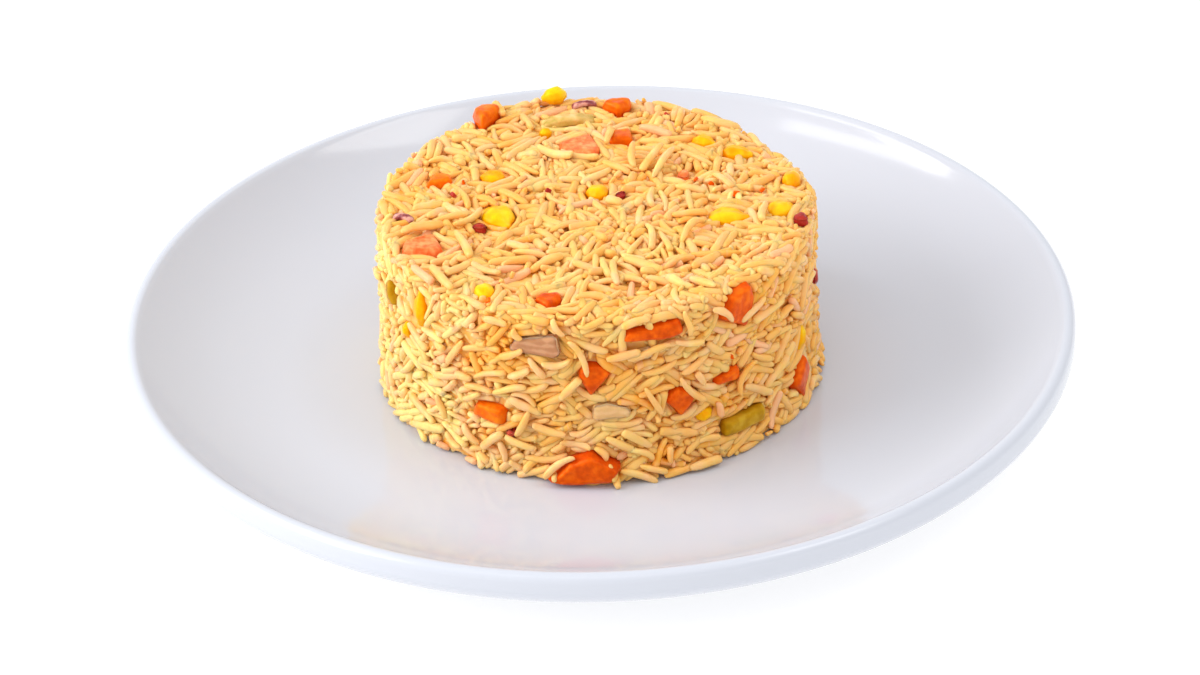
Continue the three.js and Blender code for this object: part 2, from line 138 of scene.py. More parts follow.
def ramp(tree, factor, stops):
    """A colour ramp fed by factor. stops is a list of (position, colour)."""
    made = node(tree, "ShaderNodeValToRGB", [("Fac", factor)])
    elements = made.color_ramp.elements
    while len(elements) < len(stops):
        elements.new(1.0)
    for element, (position, colour) in zip(elements, stops):
        element.position = position
        element.color = (*colour, 1)
    return made.outputs["Color"]


def noise_at(tree, place, scale, detail):
    """Noise on the Object coordinates of the node place."""
    links = [("Vector", place.outputs["Object"])]
    return node(tree, "ShaderNodeTexNoise", links, Scale=scale, Detail=detail).outputs["Fac"]


def remap(tree, value, source=(0, 1), target=(0, 1)):
    """Spreads the values between the two numbers of source over the range of target."""
    made = node(tree, "ShaderNodeMapRange", [("Value", value)])
    for label, number in zip(("From Min", "From Max", "To Min", "To Max"), (*source, *target)):
        made.inputs[label].default_value = number
    return made.outputs["Result"]


def deepened(tree, factor, colour, deep):
    """A colour mixed towards the fixed colour deep by factor."""
    made = node(tree, "ShaderNodeMix", [("Factor", factor), ("A", colour)], data_type="RGBA")
    made.inputs["B"].default_value = (*deep, 1)
    return made.outputs["Result"]


def bump(tree, shader, height, strength, distance):
    made = node(tree, "ShaderNodeBump", [("Height", height)], Strength=strength, Distance=distance)
    tree.links.new(made.outputs["Normal"], shader.inputs["Normal"])


def round_edges(bm, edges, offset, segments):
    kind = {"offset_type": "OFFSET", "profile": 0.5, "affect": "EDGES", "material": -1}
    bmesh.ops.bevel(bm, geom=edges, offset=offset, segments=segments, **kind)


def piece(name, mesh, finish, stands_for):
    mesh.materials.clear()
    mesh.materials.append(finish)
    made = bpy.data.objects.new(name, mesh)
    bpy.context.scene.collection.objects.link(made)
    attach(made, "root")
    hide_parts(*stands_for)
    return made


def piece_from(name, bm, finish, stands_for):
    for face in bm.faces:
        face.smooth = True
    mesh = bpy.data.meshes.new(name)
    bm.to_mesh(mesh)
    bm.free()
    return piece(name, mesh, finish, stands_for)


# %% [markdown]
# ## Studio
#
# The dish is lit like a catalogue picture: a large soft light from the left, a broad one overhead, and a
# white room that fills in the rest. Two smaller panels hang where the far rim of the plate mirrors them
# as bright patches. The floor is near white.

# %% Floor and room
FLOOR_SIZE = 6.0
FLOOR_BELOW = 0.5 * MM
ROOM_BRIGHTNESS = 0.845

floor_bm = bmesh.new()
bmesh.ops.create_grid(floor_bm, x_segments=1, y_segments=1, size=FLOOR_SIZE / 2)
floor_mesh = bpy.data.meshes.new("floor")
floor_bm.to_mesh(floor_mesh)
floor_bm.free()
grey = {"base_color": (0.45, 0.45, 0.45, 1), "roughness": 0.9}
glow = {"emission_color": (1, 1, 1, 1), "emission_strength": 0.66}
floor_mesh.materials.append(material("floor_white", **grey, **glow)[0])
floor = bpy.data.objects.new("floor", floor_mesh)
floor.location.z = -FLOOR_BELOW
bpy.context.scene.collection.objects.link(floor)

world = bpy.data.worlds.new("room")
bpy.context.scene.world = world
world.use_nodes = True
background = world.node_tree.nodes["Background"]
background.inputs["Color"].default_value = (1.0, 1.0, 1.0, 1)
background.inputs["Strength"].default_value = ROOM_BRIGHTNESS
bpy.context.scene.view_settings.view_transform = "Standard"
print("floor and room ready, room brightness:", ROOM_BRIGHTNESS)


# %% Lights
def softbox(name, place, target, width, height, watts, turn=0):
    """A rectangular light of this size in metres, aimed at target and turned in its plane by degrees."""
    data = bpy.data.lights.new(name, "AREA")
    data.shape = "RECTANGLE"
    data.size = width
    data.size_y = height
    data.energy = watts
    made = bpy.data.objects.new(name, data)
    made.location = place
    made.rotation_euler = (Vector(target) - Vector(place)).to_track_quat("-Z", "Y").to_euler()
    made.rotation_euler.rotate_axis("Z", radians(turn))
    bpy.context.scene.collection.objects.link(made)


softbox("key_left", (-2.4, -0.35, 1.4), (0, 0, 0.03), 2.4, 1.9, 62)
softbox("overhead", (0.4, -0.92, 1.7), (0.4, -0.92, 0), 4.8, 0.65, 6)
softbox("window_left", (-1.45, 0.36, 1.75), (-1.45, 0.36, 0), 1.5, 0.28, 4.6, turn=-38)
softbox("window_right", (1.1, -0.32, 1.75), (1.1, -0.32, 0), 0.9, 0.76, 6.5)

# %% [markdown]
# ## The plate
#
# A coupe plate is thrown or pressed as a body of revolution: a flat well that sweeps up into the rim
# with no shoulder, a rounded lip, and a foot ring underneath. So it is a section spun round the axis.
# The section uses the same sizes as the solid, with smooth curves in place of its facets.

# %% The plate's section
WELL_RADIUS = 88 * MM
WELL_LEVEL = 8 * MM
WELL_POINTS = (80 * MM, 70 * MM, 55 * MM, 35 * MM, 15 * MM, 0)
UNDERSIDE = 3 * MM
UNDERSIDE_POINTS = (0, 20 * MM, 50 * MM)
FOOT_RADIUS = 80 * MM
FOOT_WIDTH = 5 * MM
FOOT_ROUND = 0.8 * MM
FILLET_IN = 1.6 * MM
FILLET_OUT = 1.5 * MM
FILLET_PULL = 0.6 * MM
LIP_RADIUS = 2.3 * MM
LIP_WALL = 2.7 * MM
LIP_END = 2 * pi / 3
LIP_STEPS = 12
RIM_PULLS = ((112 * MM, UNDERSIDE + 0.5 * MM), (PLATE_RADIUS, 13 * MM))
SWEEP_PULL = 8 * MM
SWEEP_LOW = 108 * MM
SPIN_STEPS = 180


def curve(start, first, second, end, steps):
    """Points along a Bezier curve in the section plane, without the first one."""
    points = [Vector((r, 0, z)) for r, z in (start, first, second, end)]
    made = []
    for i in range(1, steps + 1):
        t = i / steps
        weights = ((1 - t) ** 3, 3 * t * (1 - t) ** 2, 3 * t * t * (1 - t), t**3)
        made.append(sum((w * p for w, p in zip(weights, points)), Vector()))
    return made


def plate_section():
    """From the middle of the underside, round the foot and the lip, to the middle of the well."""
    lip = (PLATE_RADIUS - LIP_RADIUS, PLATE_HEIGHT - LIP_RADIUS)
    edge = (lip[0] + LIP_RADIUS * cos(LIP_END), lip[1] + LIP_RADIUS * sin(LIP_END))
    under, foot, inner = UNDERSIDE, FOOT_RADIUS, FOOT_RADIUS - FOOT_WIDTH
    begin, end = inner - FILLET_IN, foot + FILLET_OUT
    points = [Vector((r, 0, under)) for r in (*UNDERSIDE_POINTS, begin)]
    points += curve((begin, under), (inner - FILLET_PULL, under), (inner, under), (inner, FOOT_ROUND), 4)
    points += curve((inner, FOOT_ROUND), (inner, 0), (inner, 0), (inner + FOOT_ROUND, 0), 3)
    points += [Vector((foot - FOOT_ROUND, 0, 0))]
    points += curve((foot - FOOT_ROUND, 0), (foot, 0), (foot, 0), (foot, FOOT_ROUND), 3)
    points += curve((foot, FOOT_ROUND), (foot, under), (foot + FILLET_PULL, under), (end, under), 4)
    points += curve((end, under), *RIM_PULLS, (PLATE_RADIUS, lip[1] - LIP_WALL), 18)
    for i in range(LIP_STEPS + 1):
        angle = LIP_END * i / LIP_STEPS
        points.append(Vector((lip[0] + LIP_RADIUS * cos(angle), 0, lip[1] + LIP_RADIUS * sin(angle))))
    pulled = (edge[0] - SWEEP_PULL, edge[1] - SWEEP_PULL)
    points += curve(edge, pulled, (SWEEP_LOW, WELL_LEVEL), (WELL_RADIUS, WELL_LEVEL), 22)
    points += [Vector((r, 0, WELL_LEVEL)) for r in WELL_POINTS]
    return points


print("points in the section:", len(plate_section()))

# %% [markdown]
# The plate is glazed porcelain, white clay under clear glass. One glossy colour would do from afar, but
# a fired glaze is never quite even, so a faint cloud and a very shallow ripple run through it.

# %% Porcelain
glaze = {"roughness": 0.13, "ior": 1.5, "coat_weight": 0.15, "coat_roughness": 0.05}
porcelain, tree, shader = material("porcelain", base_color=(0.585, 0.608, 0.675, 1), **glaze)
place = node(tree, "ShaderNodeTexCoord")
clay = noise_at(tree, place, 9, 3)
tint = ramp(tree, clay, [(0.3, (0.578, 0.601, 0.668)), (0.7, (0.592, 0.615, 0.682))])
tree.links.new(tint, shader.inputs["Base Color"])
bump(tree, shader, noise_at(tree, place, 28, 1), 0.08, 0.0006)
print("nodes in the porcelain:", len(tree.nodes))

# %% Spin the plate
bm = bmesh.new()
section = [bm.verts.new(p) for p in plate_section()]
edges = [bm.edges.new(pair) for pair in zip(section, section[1:])]
whole_turn = {"cent": (0, 0, 0), "axis": (0, 0, 1), "dvec": (0, 0, 0), "angle": tau, "steps": SPIN_STEPS}
bmesh.ops.spin(bm, geom=section + edges, use_merge=True, **whole_turn)
bmesh.ops.remove_doubles(bm, verts=bm.verts, dist=MERGED_WITHIN)
bmesh.ops.recalc_face_normals(bm, faces=bm.faces)
plate = piece_from("plate_glazed", bm, porcelain, ["plate"])
print("plate faces:", len(plate.data.polygons))

# %% [markdown]
# ## The vegetable pieces
#
# Each vegetable piece keeps the place and form of its solid. A copy of the solid's mesh is merged, its
# triangles are joined into quads, and then it is made finer and softened, because boiled dice have no
# sharp edges. The solid itself is left as it is.

# %% Copies of the solids
def copy_of(name):
    """A bmesh of a solid with its loose triangles merged."""
    bm = bmesh.new()
    bm.from_mesh(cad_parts[name].data)
    bmesh.ops.remove_doubles(bm, verts=bm.verts, dist=MERGED_WITHIN)
    bmesh.ops.join_triangles(
        bm, faces=bm.faces, angle_face_threshold=radians(35), angle_shape_threshold=radians(60)
    )
    return bm


vegetables = sorted(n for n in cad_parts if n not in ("plate", "rice"))
print("vegetable pieces:", len(vegetables))


# %% [markdown]
# Each piece also stands in the way of the rice. The pieces are convex, or nearly so, and a convex
# solid is where a point lies behind the planes of all its faces. The faces that look out of the rice
# are left out, so the grains keep clear of the space in front of a piece as well.

# %% Planes that the grains keep behind
OUTWARD_FACE = 0.6


def planes(name, out):
    """The middles and normals of the faces of a piece that don't look out of the rice."""
    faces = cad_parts[name].data.polygons
    middles = np.array([f.center for f in faces]) / MM
    normals = np.array([f.normal for f in faces])
    sideways = normals @ out < OUTWARD_FACE
    return middles[sideways], normals[sideways]


def points_of(mesh):
    return np.array([v.co for v in mesh.vertices]) / MM


# %% [markdown]
# ## Laying the rice
#
# A mould of rice holds some fourteen thousand grains, and only the outer two or three layers show. Those
# are laid one by one. Each grain starts at a random place in the shell under the mould's face, lying
# nearly flat in it, and turned the way its neighbours are, because grains settle side by side. Each is
# then treated as a row of small beads. Beads of different grains push each other apart, the mould's
# wall pushes them in and the vegetable pieces push them aside, for a few dozen rounds, until the
# grains lie over and beside each other. The beads are a little slimmer than the grains, so the grains
# end up pressed together and stuck, as they are in a mould.

# %% Sizes of the grains, in millimetres
GRAIN_LENGTH = 10.8
GRAIN_WIDTH = 2.55
SHELL = 3.8  # depth under the mould's face that the grains fill
SHOULDER = 3.0
RADIUS = MOULD_RADIUS / MM
TOP = MOULD_TOP / MM
BASE = BASE_LEVEL / MM
SIDE_GRAINS = 2620
TOP_GRAINS = 1500
BEADS = 6
BEAD_RADIUS = 0.93
ROUNDS = 60
PIECE_GAP = 1.05  # from a bead's middle to the side of a vegetable piece
LOW_WITHIN = 4.0  # grains whose middles are this near to a piece lie lower than the others
LOW_PROUD = -0.4
SIDE_RISE = 0.5  # a way out that rises less than this belongs to the side
SWIRL_SIZE = 13.0  # how far on the direction of the grains changes

SEED = 7
rng = np.random.RandomState(SEED)
noise.seed_set(SEED)  # noise_vector is shifted by Blender's own random numbers
print("grains to lay:", SIDE_GRAINS + TOP_GRAINS, "beads in each:", BEADS)


def unit(v):
    return v / np.maximum(np.linalg.norm(v, axis=-1, keepdims=True), 1e-9)


# %% [markdown]
# The round isn't a perfect cylinder. Its foot has slumped outwards a little, and along its far edge the
# top was lifted in one place and knocked down in another when the mould came off. The solid has the
# same lifts, so the grains follow it.

# %% The mould's face
FOOT_SPREAD = 1.8
FOOT_HEIGHT = 9.0
EDGE_LIFTS = [(113, 26, 2.0), (33, 17, -3.0)]  # azimuth and spread in degrees, and the rise
EDGE_FROM = 36.0


def smooth_step(value, low, high):
    share = np.clip((value - low) / (high - low), 0, 1)
    return share * share * (3 - 2 * share)


def top_rise(x, y):
    azimuth = np.degrees(np.arctan2(y, x))
    near_edge = smooth_step(np.hypot(x, y), EDGE_FROM, RADIUS)
    lifts = [rise * np.exp(-(((azimuth - middle) / spread) ** 2)) for middle, spread, rise in EDGE_LIFTS]
    return near_edge * sum(lifts)


def foot_spread(z):
    return FOOT_SPREAD * (1 - smooth_step(z, BASE, BASE + FOOT_HEIGHT))


def mould(p):
    """The distance of points outside the mould's face, and the way out of it."""
    flat = np.hypot(p[:, 0], p[:, 1])
    across = flat - (RADIUS + foot_spread(p[:, 2]) - SHOULDER)
    up = p[:, 2] - (TOP + top_rise(p[:, 0], p[:, 1]) - SHOULDER)
    beyond = np.stack([np.maximum(across, 0), np.maximum(up, 0)], axis=1)
    corner = np.linalg.norm(beyond, axis=1)
    inside = np.minimum(np.maximum(across, up), 0)
    nearest = np.where((across > up)[:, None], (1.0, 0.0), (0.0, 1.0))
    way = np.where((corner > 1e-6)[:, None], beyond / np.maximum(corner, 1e-6)[:, None], nearest)
    outward = p[:, :2] / np.maximum(flat, 1e-6)[:, None]
    out = np.column_stack([outward * way[:, :1], way[:, 1]])
    return corner + inside - SHOULDER, out


def on_side(ways):
    """Which ways out of the face belong to the side."""
    return np.abs(ways[:, 2]) < SIDE_RISE


def swirl(p):
    """A smooth angle at each point, which neighbouring grains share."""
    return np.array([tau * noise.noise(Vector(q) / SWIRL_SIZE) for q in p])


# %% Start places
LEAST_DEPTH = 1.0
EDGE_GAP = 1.2
LOW_BIAS = 1.12  # the higher, the more of the side's grains start low
TOP_INSET = 2

side_angle = rng.uniform(0, tau, SIDE_GRAINS)
side_depth = rng.uniform(LEAST_DEPTH, SHELL, SIDE_GRAINS)
side_level = BASE + EDGE_GAP + (TOP - BASE - 2 * EDGE_GAP) * rng.uniform(0, 1, SIDE_GRAINS) ** LOW_BIAS
top_angle = rng.uniform(0, tau, TOP_GRAINS)
top_from = (RADIUS - TOP_INSET) * np.sqrt(rng.uniform(0, 1, TOP_GRAINS))
top_depth = rng.uniform(LEAST_DEPTH, SHELL, TOP_GRAINS)
side_places = np.column_stack([np.cos(side_angle), np.sin(side_angle), side_level])
side_places[:, :2] *= (RADIUS - side_depth)[:, None]
top_places = np.column_stack([top_from * np.cos(top_angle), top_from * np.sin(top_angle), TOP - top_depth])
laid = np.vstack([side_places, top_places])
laid_ways = mould(laid)[1]
print("grains on the side and the top:", SIDE_GRAINS, TOP_GRAINS)

# %% Start directions
TURN_SPREAD = 0.5
SIDE_TURN = 0.62  # grains on the side lie flatter by this factor
LEAN_SPREAD = 0.16
END_ON = 0.09  # share of the grains that stick out end on
END_ON_LEAN = (0.6, 1.3)


def lying(out, turn, lean):
    """The direction of a grain that lies in the face with this way out, turned and leant by these angles."""
    level = unit(np.column_stack([-out[:, 1], out[:, 0], np.zeros(len(out))]) + (1e-6, 0, 0))
    flat = level * np.cos(turn)[:, None] + np.cross(out, level) * np.sin(turn)[:, None]
    return unit(flat * np.cos(lean)[:, None] + out * np.sin(lean)[:, None])


turn = swirl(laid) + rng.normal(0, TURN_SPREAD, len(laid))
turn = np.where(on_side(laid_ways), SIDE_TURN * np.arctan(np.tan(turn)), turn)
lean = rng.normal(0, LEAN_SPREAD, len(laid))
end_on = rng.uniform(0, 1, len(laid)) < END_ON
lean = np.where(end_on, rng.uniform(*END_ON_LEAN, len(laid)) * rng.choice([-1, 1], len(laid)), lean)
laid_along = lying(laid_ways, turn, lean)

# %% [markdown]
# Round the back, and on a few pieces that are half hidden in the photo, grains lie over the edges of
# the vegetables by chance.

# %% Grains across the vegetables
RIDERS_PER_SIZE = 0.035  # grains for each millimetre of a piece's breadth
RIDER_LIFT = 0.5
RIDER_OFF = 1.15  # how far out from a piece's middle they lie, in shares of its half breadth
RIDER_TURN = 0.3
HALF_HIDDEN = ("carrot_04", "carrot_06", "carrot_13", "corn_02", "corn_03", "onion_03", "green_bean_01")

riders, rider_out, rider_along = [], [], []
for name in vegetables:
    points = points_of(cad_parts[name].data)
    centre = (points.min(axis=0) + points.max(axis=0)) / 2
    way = mould(centre[None])[1][0]
    right = unit(np.cross((0, 0, 1), way) if abs(way[2]) < 0.8 else np.array([1.0, 0, 0]))
    up = np.cross(way, right)
    local = np.column_stack([(points - centre) @ right, (points - centre) @ up])
    half_x, half_y = np.abs(local).max(axis=0)
    outer = mould(points)[0].max()
    for i in range(int(RIDERS_PER_SIZE * (half_x + half_y) * 2 + rng.uniform(0, 1))):
        around = rng.uniform(0, tau)
        edge = RIDER_OFF / max(abs(cos(around)), abs(sin(around)))
        turned = around + pi / 2 + rng.normal(0, RIDER_TURN)
        at = centre + edge * (cos(around) * half_x * right + sin(around) * half_y * up)
        if name in HALF_HIDDEN or (centre[1] > 0 and way[2] < 0.5):
            riders.append(at + (outer + RIDER_LIFT - mould(at[None])[0][0]) * way)
            rider_out.append(way)
            rider_along.append(cos(turned) * right + sin(turned) * up)
riders, rider_out, rider_along = map(np.array, (riders, rider_out, rider_along))
print("grains across vegetables:", len(riders))

# %% [markdown]
# The grains that catch the eye are named one by one. A row has the places of a grain's two ends in the
# picture, 1200 wide, and how far the grain stands out of the mould's face. A few rise towards their
# second end. The camera's rays find the places on the face.

# %% Grains that catch the eye
PICTURE = (1200, 675)
NAMED_GRAINS = [
    (633, 168, 632, 142, 0.8), (641, 170, 662, 143, 0.9), (652, 177, 673, 147, 0.9),
    (648, 223, 653, 248, 0.9), (660, 231, 671, 250, 0.8), (680, 240, 704, 216, 0.9),
    (762, 221, 765, 202, 0.9), (600, 258, 610, 276, 0.8), (612, 261, 617, 285, 0.9),
    (781, 275, 799, 240, 0.9), (606, 198, 622, 203, 0.9), (494, 102, 504, 115, 1.0),
    (560, 152, 598, 158, 0.9), (445, 274, 470, 263, 0.8), (472, 264, 500, 274, 0.8),
    (430, 266, 452, 288, 0.9), (412, 266, 432, 282, 0.8), (455, 230, 472, 258, 0.8),
    (455, 226, 482, 210, 0.9), (507, 243, 530, 248, 0.8), (612, 128, 606, 142, 1.8),
    (690, 278, 716, 286, 0.8), (465, 384, 492, 392, 0.8), (492, 392, 526, 387, 0.8),
    (474, 376, 506, 372, 0.6), (455, 374, 471, 379, 0.9), (508, 377, 530, 370, 0.6),
    (464, 399, 480, 394, 1.0), (480, 448, 502, 433, 1.0), (516, 437, 529, 412, 1.0),
    (500, 441, 506, 462, 0.8), (504, 437, 536, 450, 0.8), (532, 425, 566, 436, 0.7),
    (560, 442, 591, 448, 0.7), (559, 400, 580, 379, 0.9), (542, 366, 571, 362, 0.8),
    (528, 358, 545, 379, 0.7), (570, 340, 589, 376, 1.0), (462, 424, 478, 445, 0.8),
    (436, 394, 446, 419, 0.8), (543, 477, 574, 456, 2.5), (621, 327, 650, 318, 1.3),
    (685, 311, 691, 336, 1.1), (675, 343, 704, 342, 0.9), (606, 360, 641, 352, 0.8),
    (627, 360, 671, 344, 0.6), (645, 388, 663, 415, 1.0), (679, 379, 705, 401, 1.2),
    (606, 438, 634, 450, 0.8), (622, 432, 652, 446, 0.7), (630, 448, 655, 458, 0.8),
    (620, 470, 658, 481, 1.0), (640, 466, 668, 472, 0.8), (690, 468, 722, 458, 0.8),
    (670, 446, 671, 463, 1.0), (596, 447, 608, 460, 1.0), (697, 373, 705, 384, 1.2),
    (718, 402, 722, 416, 0.9), (699, 441, 720, 436, 0.8), (744, 386, 772, 392, 0.7),
    (742, 322, 766, 296, 1.0), (715, 309, 735, 320, 1.3), (753, 322, 782, 300, 0.8),
    (484, 318, 507, 325, 0.9), (551, 320, 563, 337, 1.1), (500, 357, 523, 351, 1.0),
    (512, 330, 520, 340, 1.0),
]
RISES = {0: 3, 1: 2.5, 2: 2.5, 3: -1, 5: 1, 6: 1}  # by row
NAMED_ENDS = [(592, 459), (600, 463), (605, 470), (612, 474), (617, 481), (609, 466), (556, 477)]
NAMED_SINK = 0.4
DOT_PROUD = 0.6  # the named ends are grains seen end on, as dots
DOT_LEAN = 0.3
DOT_LENGTH = 5.0
RAY_STEPS = 60


def on_face(x, y, proud):
    """Points that stand out of the mould's face by proud, where rays through the picture meet them."""
    across = (x - PICTURE[0] / 2) / PICTURE[0] * SENSOR_WIDTH
    upward = (PICTURE[1] / 2 - y) / PICTURE[0] * SENSOR_WIDTH
    ways = np.column_stack([across, upward, np.full(len(x), -CAMERA_LENS)]) @ np.array(facing.transposed())
    ways = unit(ways)
    p = np.tile(np.array(camera.location) / MM, (len(x), 1))
    best, nearest = p, np.full(len(x), np.inf)
    for step in range(RAY_STEPS):
        distance = mould(p)[0] - proud
        closer = distance < nearest
        best, nearest = np.where(closer[:, None], p, best), np.minimum(distance, nearest)
        p = p + ways * distance[:, None]
    return best


grain_rows = np.array(NAMED_GRAINS, dtype=float)
grain_rows[:, 4] -= NAMED_SINK
rising = np.array([RISES.get(row, 0) for row in range(len(NAMED_GRAINS))])
first_ends = on_face(grain_rows[:, 0], grain_rows[:, 1], grain_rows[:, 4])
second_ends = on_face(grain_rows[:, 2], grain_rows[:, 3], grain_rows[:, 4] + rising)
end_rows = np.array(NAMED_ENDS, dtype=float)
dots = on_face(end_rows[:, 0], end_rows[:, 1], DOT_PROUD)
dot_ways = mould(dots)[1]
named = np.vstack([(first_ends + second_ends) / 2, dots])
named_along = unit(np.vstack([second_ends - first_ends, dot_ways + rng.normal(0, DOT_LEAN, dot_ways.shape)]))
named_length = np.linalg.norm(second_ends - first_ends, axis=1)
named_length = np.concatenate([named_length, np.full(len(dots), DOT_LENGTH)])
print("named grains:", len(named), "longest, in mm:", named_length.max().round(1))

# %% [markdown]
# On the left of the side the grains were crushed against the mould, so more of them are broken there.
# All of them differ a little in length, breadth and bow, and a few stray ones stand out.

# %% All the grains together
CRUSHED_LEFT_OF = -28.0
LENGTH_SPREAD = 0.17
LENGTH_LIMITS = (0.65, 1.4)
NAMED_LIMITS = (4, 15)
BROKEN = 0.1
BROKEN_ON_LEFT = 0.5
BROKEN_LENGTH = (0.3, 0.65)
BOW_SPREAD = 0.09
WIDTH_SPREAD = 0.08
WIDTH_LIMITS = (0.8, 1.2)
SLIMMER = 0.92
PROUD_MEAN = 0.2  # how far grains stand out of the face
PROUD_SPREAD = 0.25
PROUD_LIMITS = (-0.3, 0.9)
STRAY = 0.035
STRAY_PROUD = (0.9, 2.2)

centres = np.vstack([laid, riders, named])
out = np.vstack([laid_ways, rider_out, mould(named)[1]])
along = np.vstack([laid_along, rider_along, named_along])
count = len(centres)
is_rider = np.arange(count) >= len(laid)
is_named = np.arange(count) >= count - len(named)
bowed = unit(np.cross(along, unit(rng.normal(0, 1, (count, 3)))))
long = GRAIN_LENGTH * np.clip(rng.normal(1, LENGTH_SPREAD, count), *LENGTH_LIMITS)
crushed = (centres[:, 0] < CRUSHED_LEFT_OF) & on_side(out)
broken = (rng.uniform(0, 1, count) < np.where(crushed, BROKEN_ON_LEFT, BROKEN)) & ~is_rider
long = np.where(broken, long * rng.uniform(*BROKEN_LENGTH, count), long)
long[is_named] = np.clip(named_length, *NAMED_LIMITS)
bow = np.abs(rng.normal(0, BOW_SPREAD, count)) * long
wide = GRAIN_WIDTH * np.clip(rng.normal(1, WIDTH_SPREAD, count), *WIDTH_LIMITS)
wide[crushed | is_named] *= SLIMMER
proud = np.clip(rng.normal(PROUD_MEAN, PROUD_SPREAD, count), *PROUD_LIMITS)
stray = rng.uniform(0, 1, count) < STRAY
proud = np.where(stray, rng.uniform(*STRAY_PROUD, count), proud)
print("grains:", count, "broken:", int(broken.sum()))


# %% Which points are near each other
CELLS = 512  # along each axis
MIDDLE_CELL = 200


def near_pairs(p, q, reach):
    """Pairs of a point of p and a point of q that are nearer than reach."""
    keys = []
    for points in (p, q):
        cell = np.floor(points / reach).astype(np.int64) + MIDDLE_CELL
        keys.append((cell[:, 0] * CELLS + cell[:, 1]) * CELLS + cell[:, 2])
    order = np.argsort(keys[1], kind="stable")
    ordered = keys[1][order]
    first, second = [], []
    for dx in (-1, 0, 1):
        for dy in (-1, 0, 1):
            column = keys[0] + (dx * CELLS + dy) * CELLS
            low = np.searchsorted(ordered, column - 1, "left")
            many = np.searchsorted(ordered, column + 1, "right") - low
            first.append(np.repeat(np.arange(len(p)), many))
            within = np.arange(many.sum()) - np.repeat(np.cumsum(many) - many, many)
            second.append(order[within + np.repeat(low, many)])
    i, j = np.concatenate(first), np.concatenate(second)
    apart = p[i] - q[j]
    near = np.einsum("ij,ij->i", apart, apart) < reach * reach
    return i[near], j[near]


def neighbours(p, owner, reach):
    """Pairs of beads of different grains that are nearer than reach."""
    i, j = near_pairs(p, p, reach)
    keep = (i < j) & (owner[i] != owner[j])
    return i[keep], j[keep]


def gather(index, push, size):
    return np.column_stack([np.bincount(index, push[:, k], size) for k in range(3)])


# %% Settle the grains
PIECE_REACH = 3  # beads this far beyond a piece are still looked at
APART_PUSH = 0.25
PIECE_PUSH = 0.6
WALL_PUSH = 0.7
DEEP_PUSH = 0.3
MOVE = 1.6
TURN = 0.8
LOST_BELOW = 1.5  # grains pushed this far below the shell are left out

shares = np.linspace(-1, 1, BEADS)
owner = np.repeat(np.arange(count), BEADS)
reach_along = (long / 2 - BEAD_RADIUS)[:, None] * shares
lift = (bow[:, None] * (1 - shares**2) - bow[:, None] * 0.5)[:, :, None]


def beads_of():
    """The places of all the beads, in rows of BEADS for each grain."""
    straight = centres[:, None] + reach_along[:, :, None] * along[:, None]
    return (straight + lift * bowed[:, None]).reshape(-1, 3)


reached = mould(beads_of())[0].reshape(count, BEADS).max(axis=1) + BEAD_RADIUS
proud[is_rider] = reached[is_rider]
obstacles = []
for name in vegetables:
    points = points_of(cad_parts[name].data)
    middle = points.mean(axis=0)
    reach = np.linalg.norm(points - middle, axis=1).max() + PIECE_REACH
    obstacles.append((middle, reach, planes(name, mould(middle[None])[1][0])))
    beside = np.linalg.norm(centres - middle, axis=1) < reach - PIECE_REACH + LOW_WITHIN
    proud[beside & ~is_rider] = np.minimum(proud[beside & ~is_rider], LOW_PROUD)

for step in range(ROUNDS):
    p = beads_of()
    push = np.zeros_like(p)
    i, j = neighbours(p, owner, 2 * BEAD_RADIUS)
    apart = p[i] - p[j]
    far = np.maximum(np.linalg.norm(apart, axis=1), 1e-4)
    part = apart / far[:, None] * (APART_PUSH * (2 * BEAD_RADIUS - far))[:, None]
    push += gather(i, part, len(p)) - gather(j, part, len(p))
    for middle, reach, (faces, normals) in obstacles:
        near = np.where((np.abs(p - middle) < reach).all(axis=1) & ~is_rider[owner])[0]
        away = ((p[near][:, None] - faces) * normals).sum(axis=2)
        nearest = away.argmax(axis=1)
        amount = PIECE_GAP - away[np.arange(len(near)), nearest]
        hit = amount > 0
        push[near[hit]] += PIECE_PUSH * amount[hit, None] * normals[nearest[hit]]
    distance, way = mould(p)
    over = distance + BEAD_RADIUS - proud[owner]
    push -= WALL_PUSH * np.maximum(over, 0)[:, None] * way
    deep = -distance - SHELL
    push += DEEP_PUSH * np.maximum(deep, 0)[:, None] * way
    push[:, 2] += WALL_PUSH * np.maximum(BASE + BEAD_RADIUS - p[:, 2], 0)
    push[is_named[owner]] = 0
    centres += gather(owner, push, count) / BEADS * MOVE
    arm = p - centres[owner]
    twist = gather(owner, np.cross(arm, push), count)
    inertia = np.einsum("ij,ij->i", arm, arm).reshape(count, BEADS).sum(axis=1)
    turning = twist / inertia[:, None] * TURN
    along = unit(along + np.cross(turning, along))
    bowed = unit(bowed + np.cross(turning, bowed))
    bowed = unit(bowed - along * np.einsum("ij,ij->i", bowed, along)[:, None])
beads = beads_of()
kept = -mould(centres)[0] < SHELL + LOST_BELOW
print("touching pairs left:", len(i), "grains kept:", int(kept.sum()))

# %% [markdown]
# Small crumbs of broken grains fill some of the gaps. They are laid last, just under the face.

# %% Crumbs
CRUMBS = 420
CRUMBS_ON_TOP = 0.35
CRUMB_DEPTH = (0.2, 1.1)
CRUMB_LEAN = 0.5
CRUMB_LENGTH = (1.6, 3.0)
CRUMB_WIDTH = (1.2, 1.8)
CRUMB_CLEAR = -2.5


def beyond_pieces(points):
    """How far points are outside the ball round the nearest vegetable piece."""
    gaps = [np.linalg.norm(points - middle, axis=1) - reach for middle, reach, faces in obstacles]
    return np.min(gaps, axis=0)


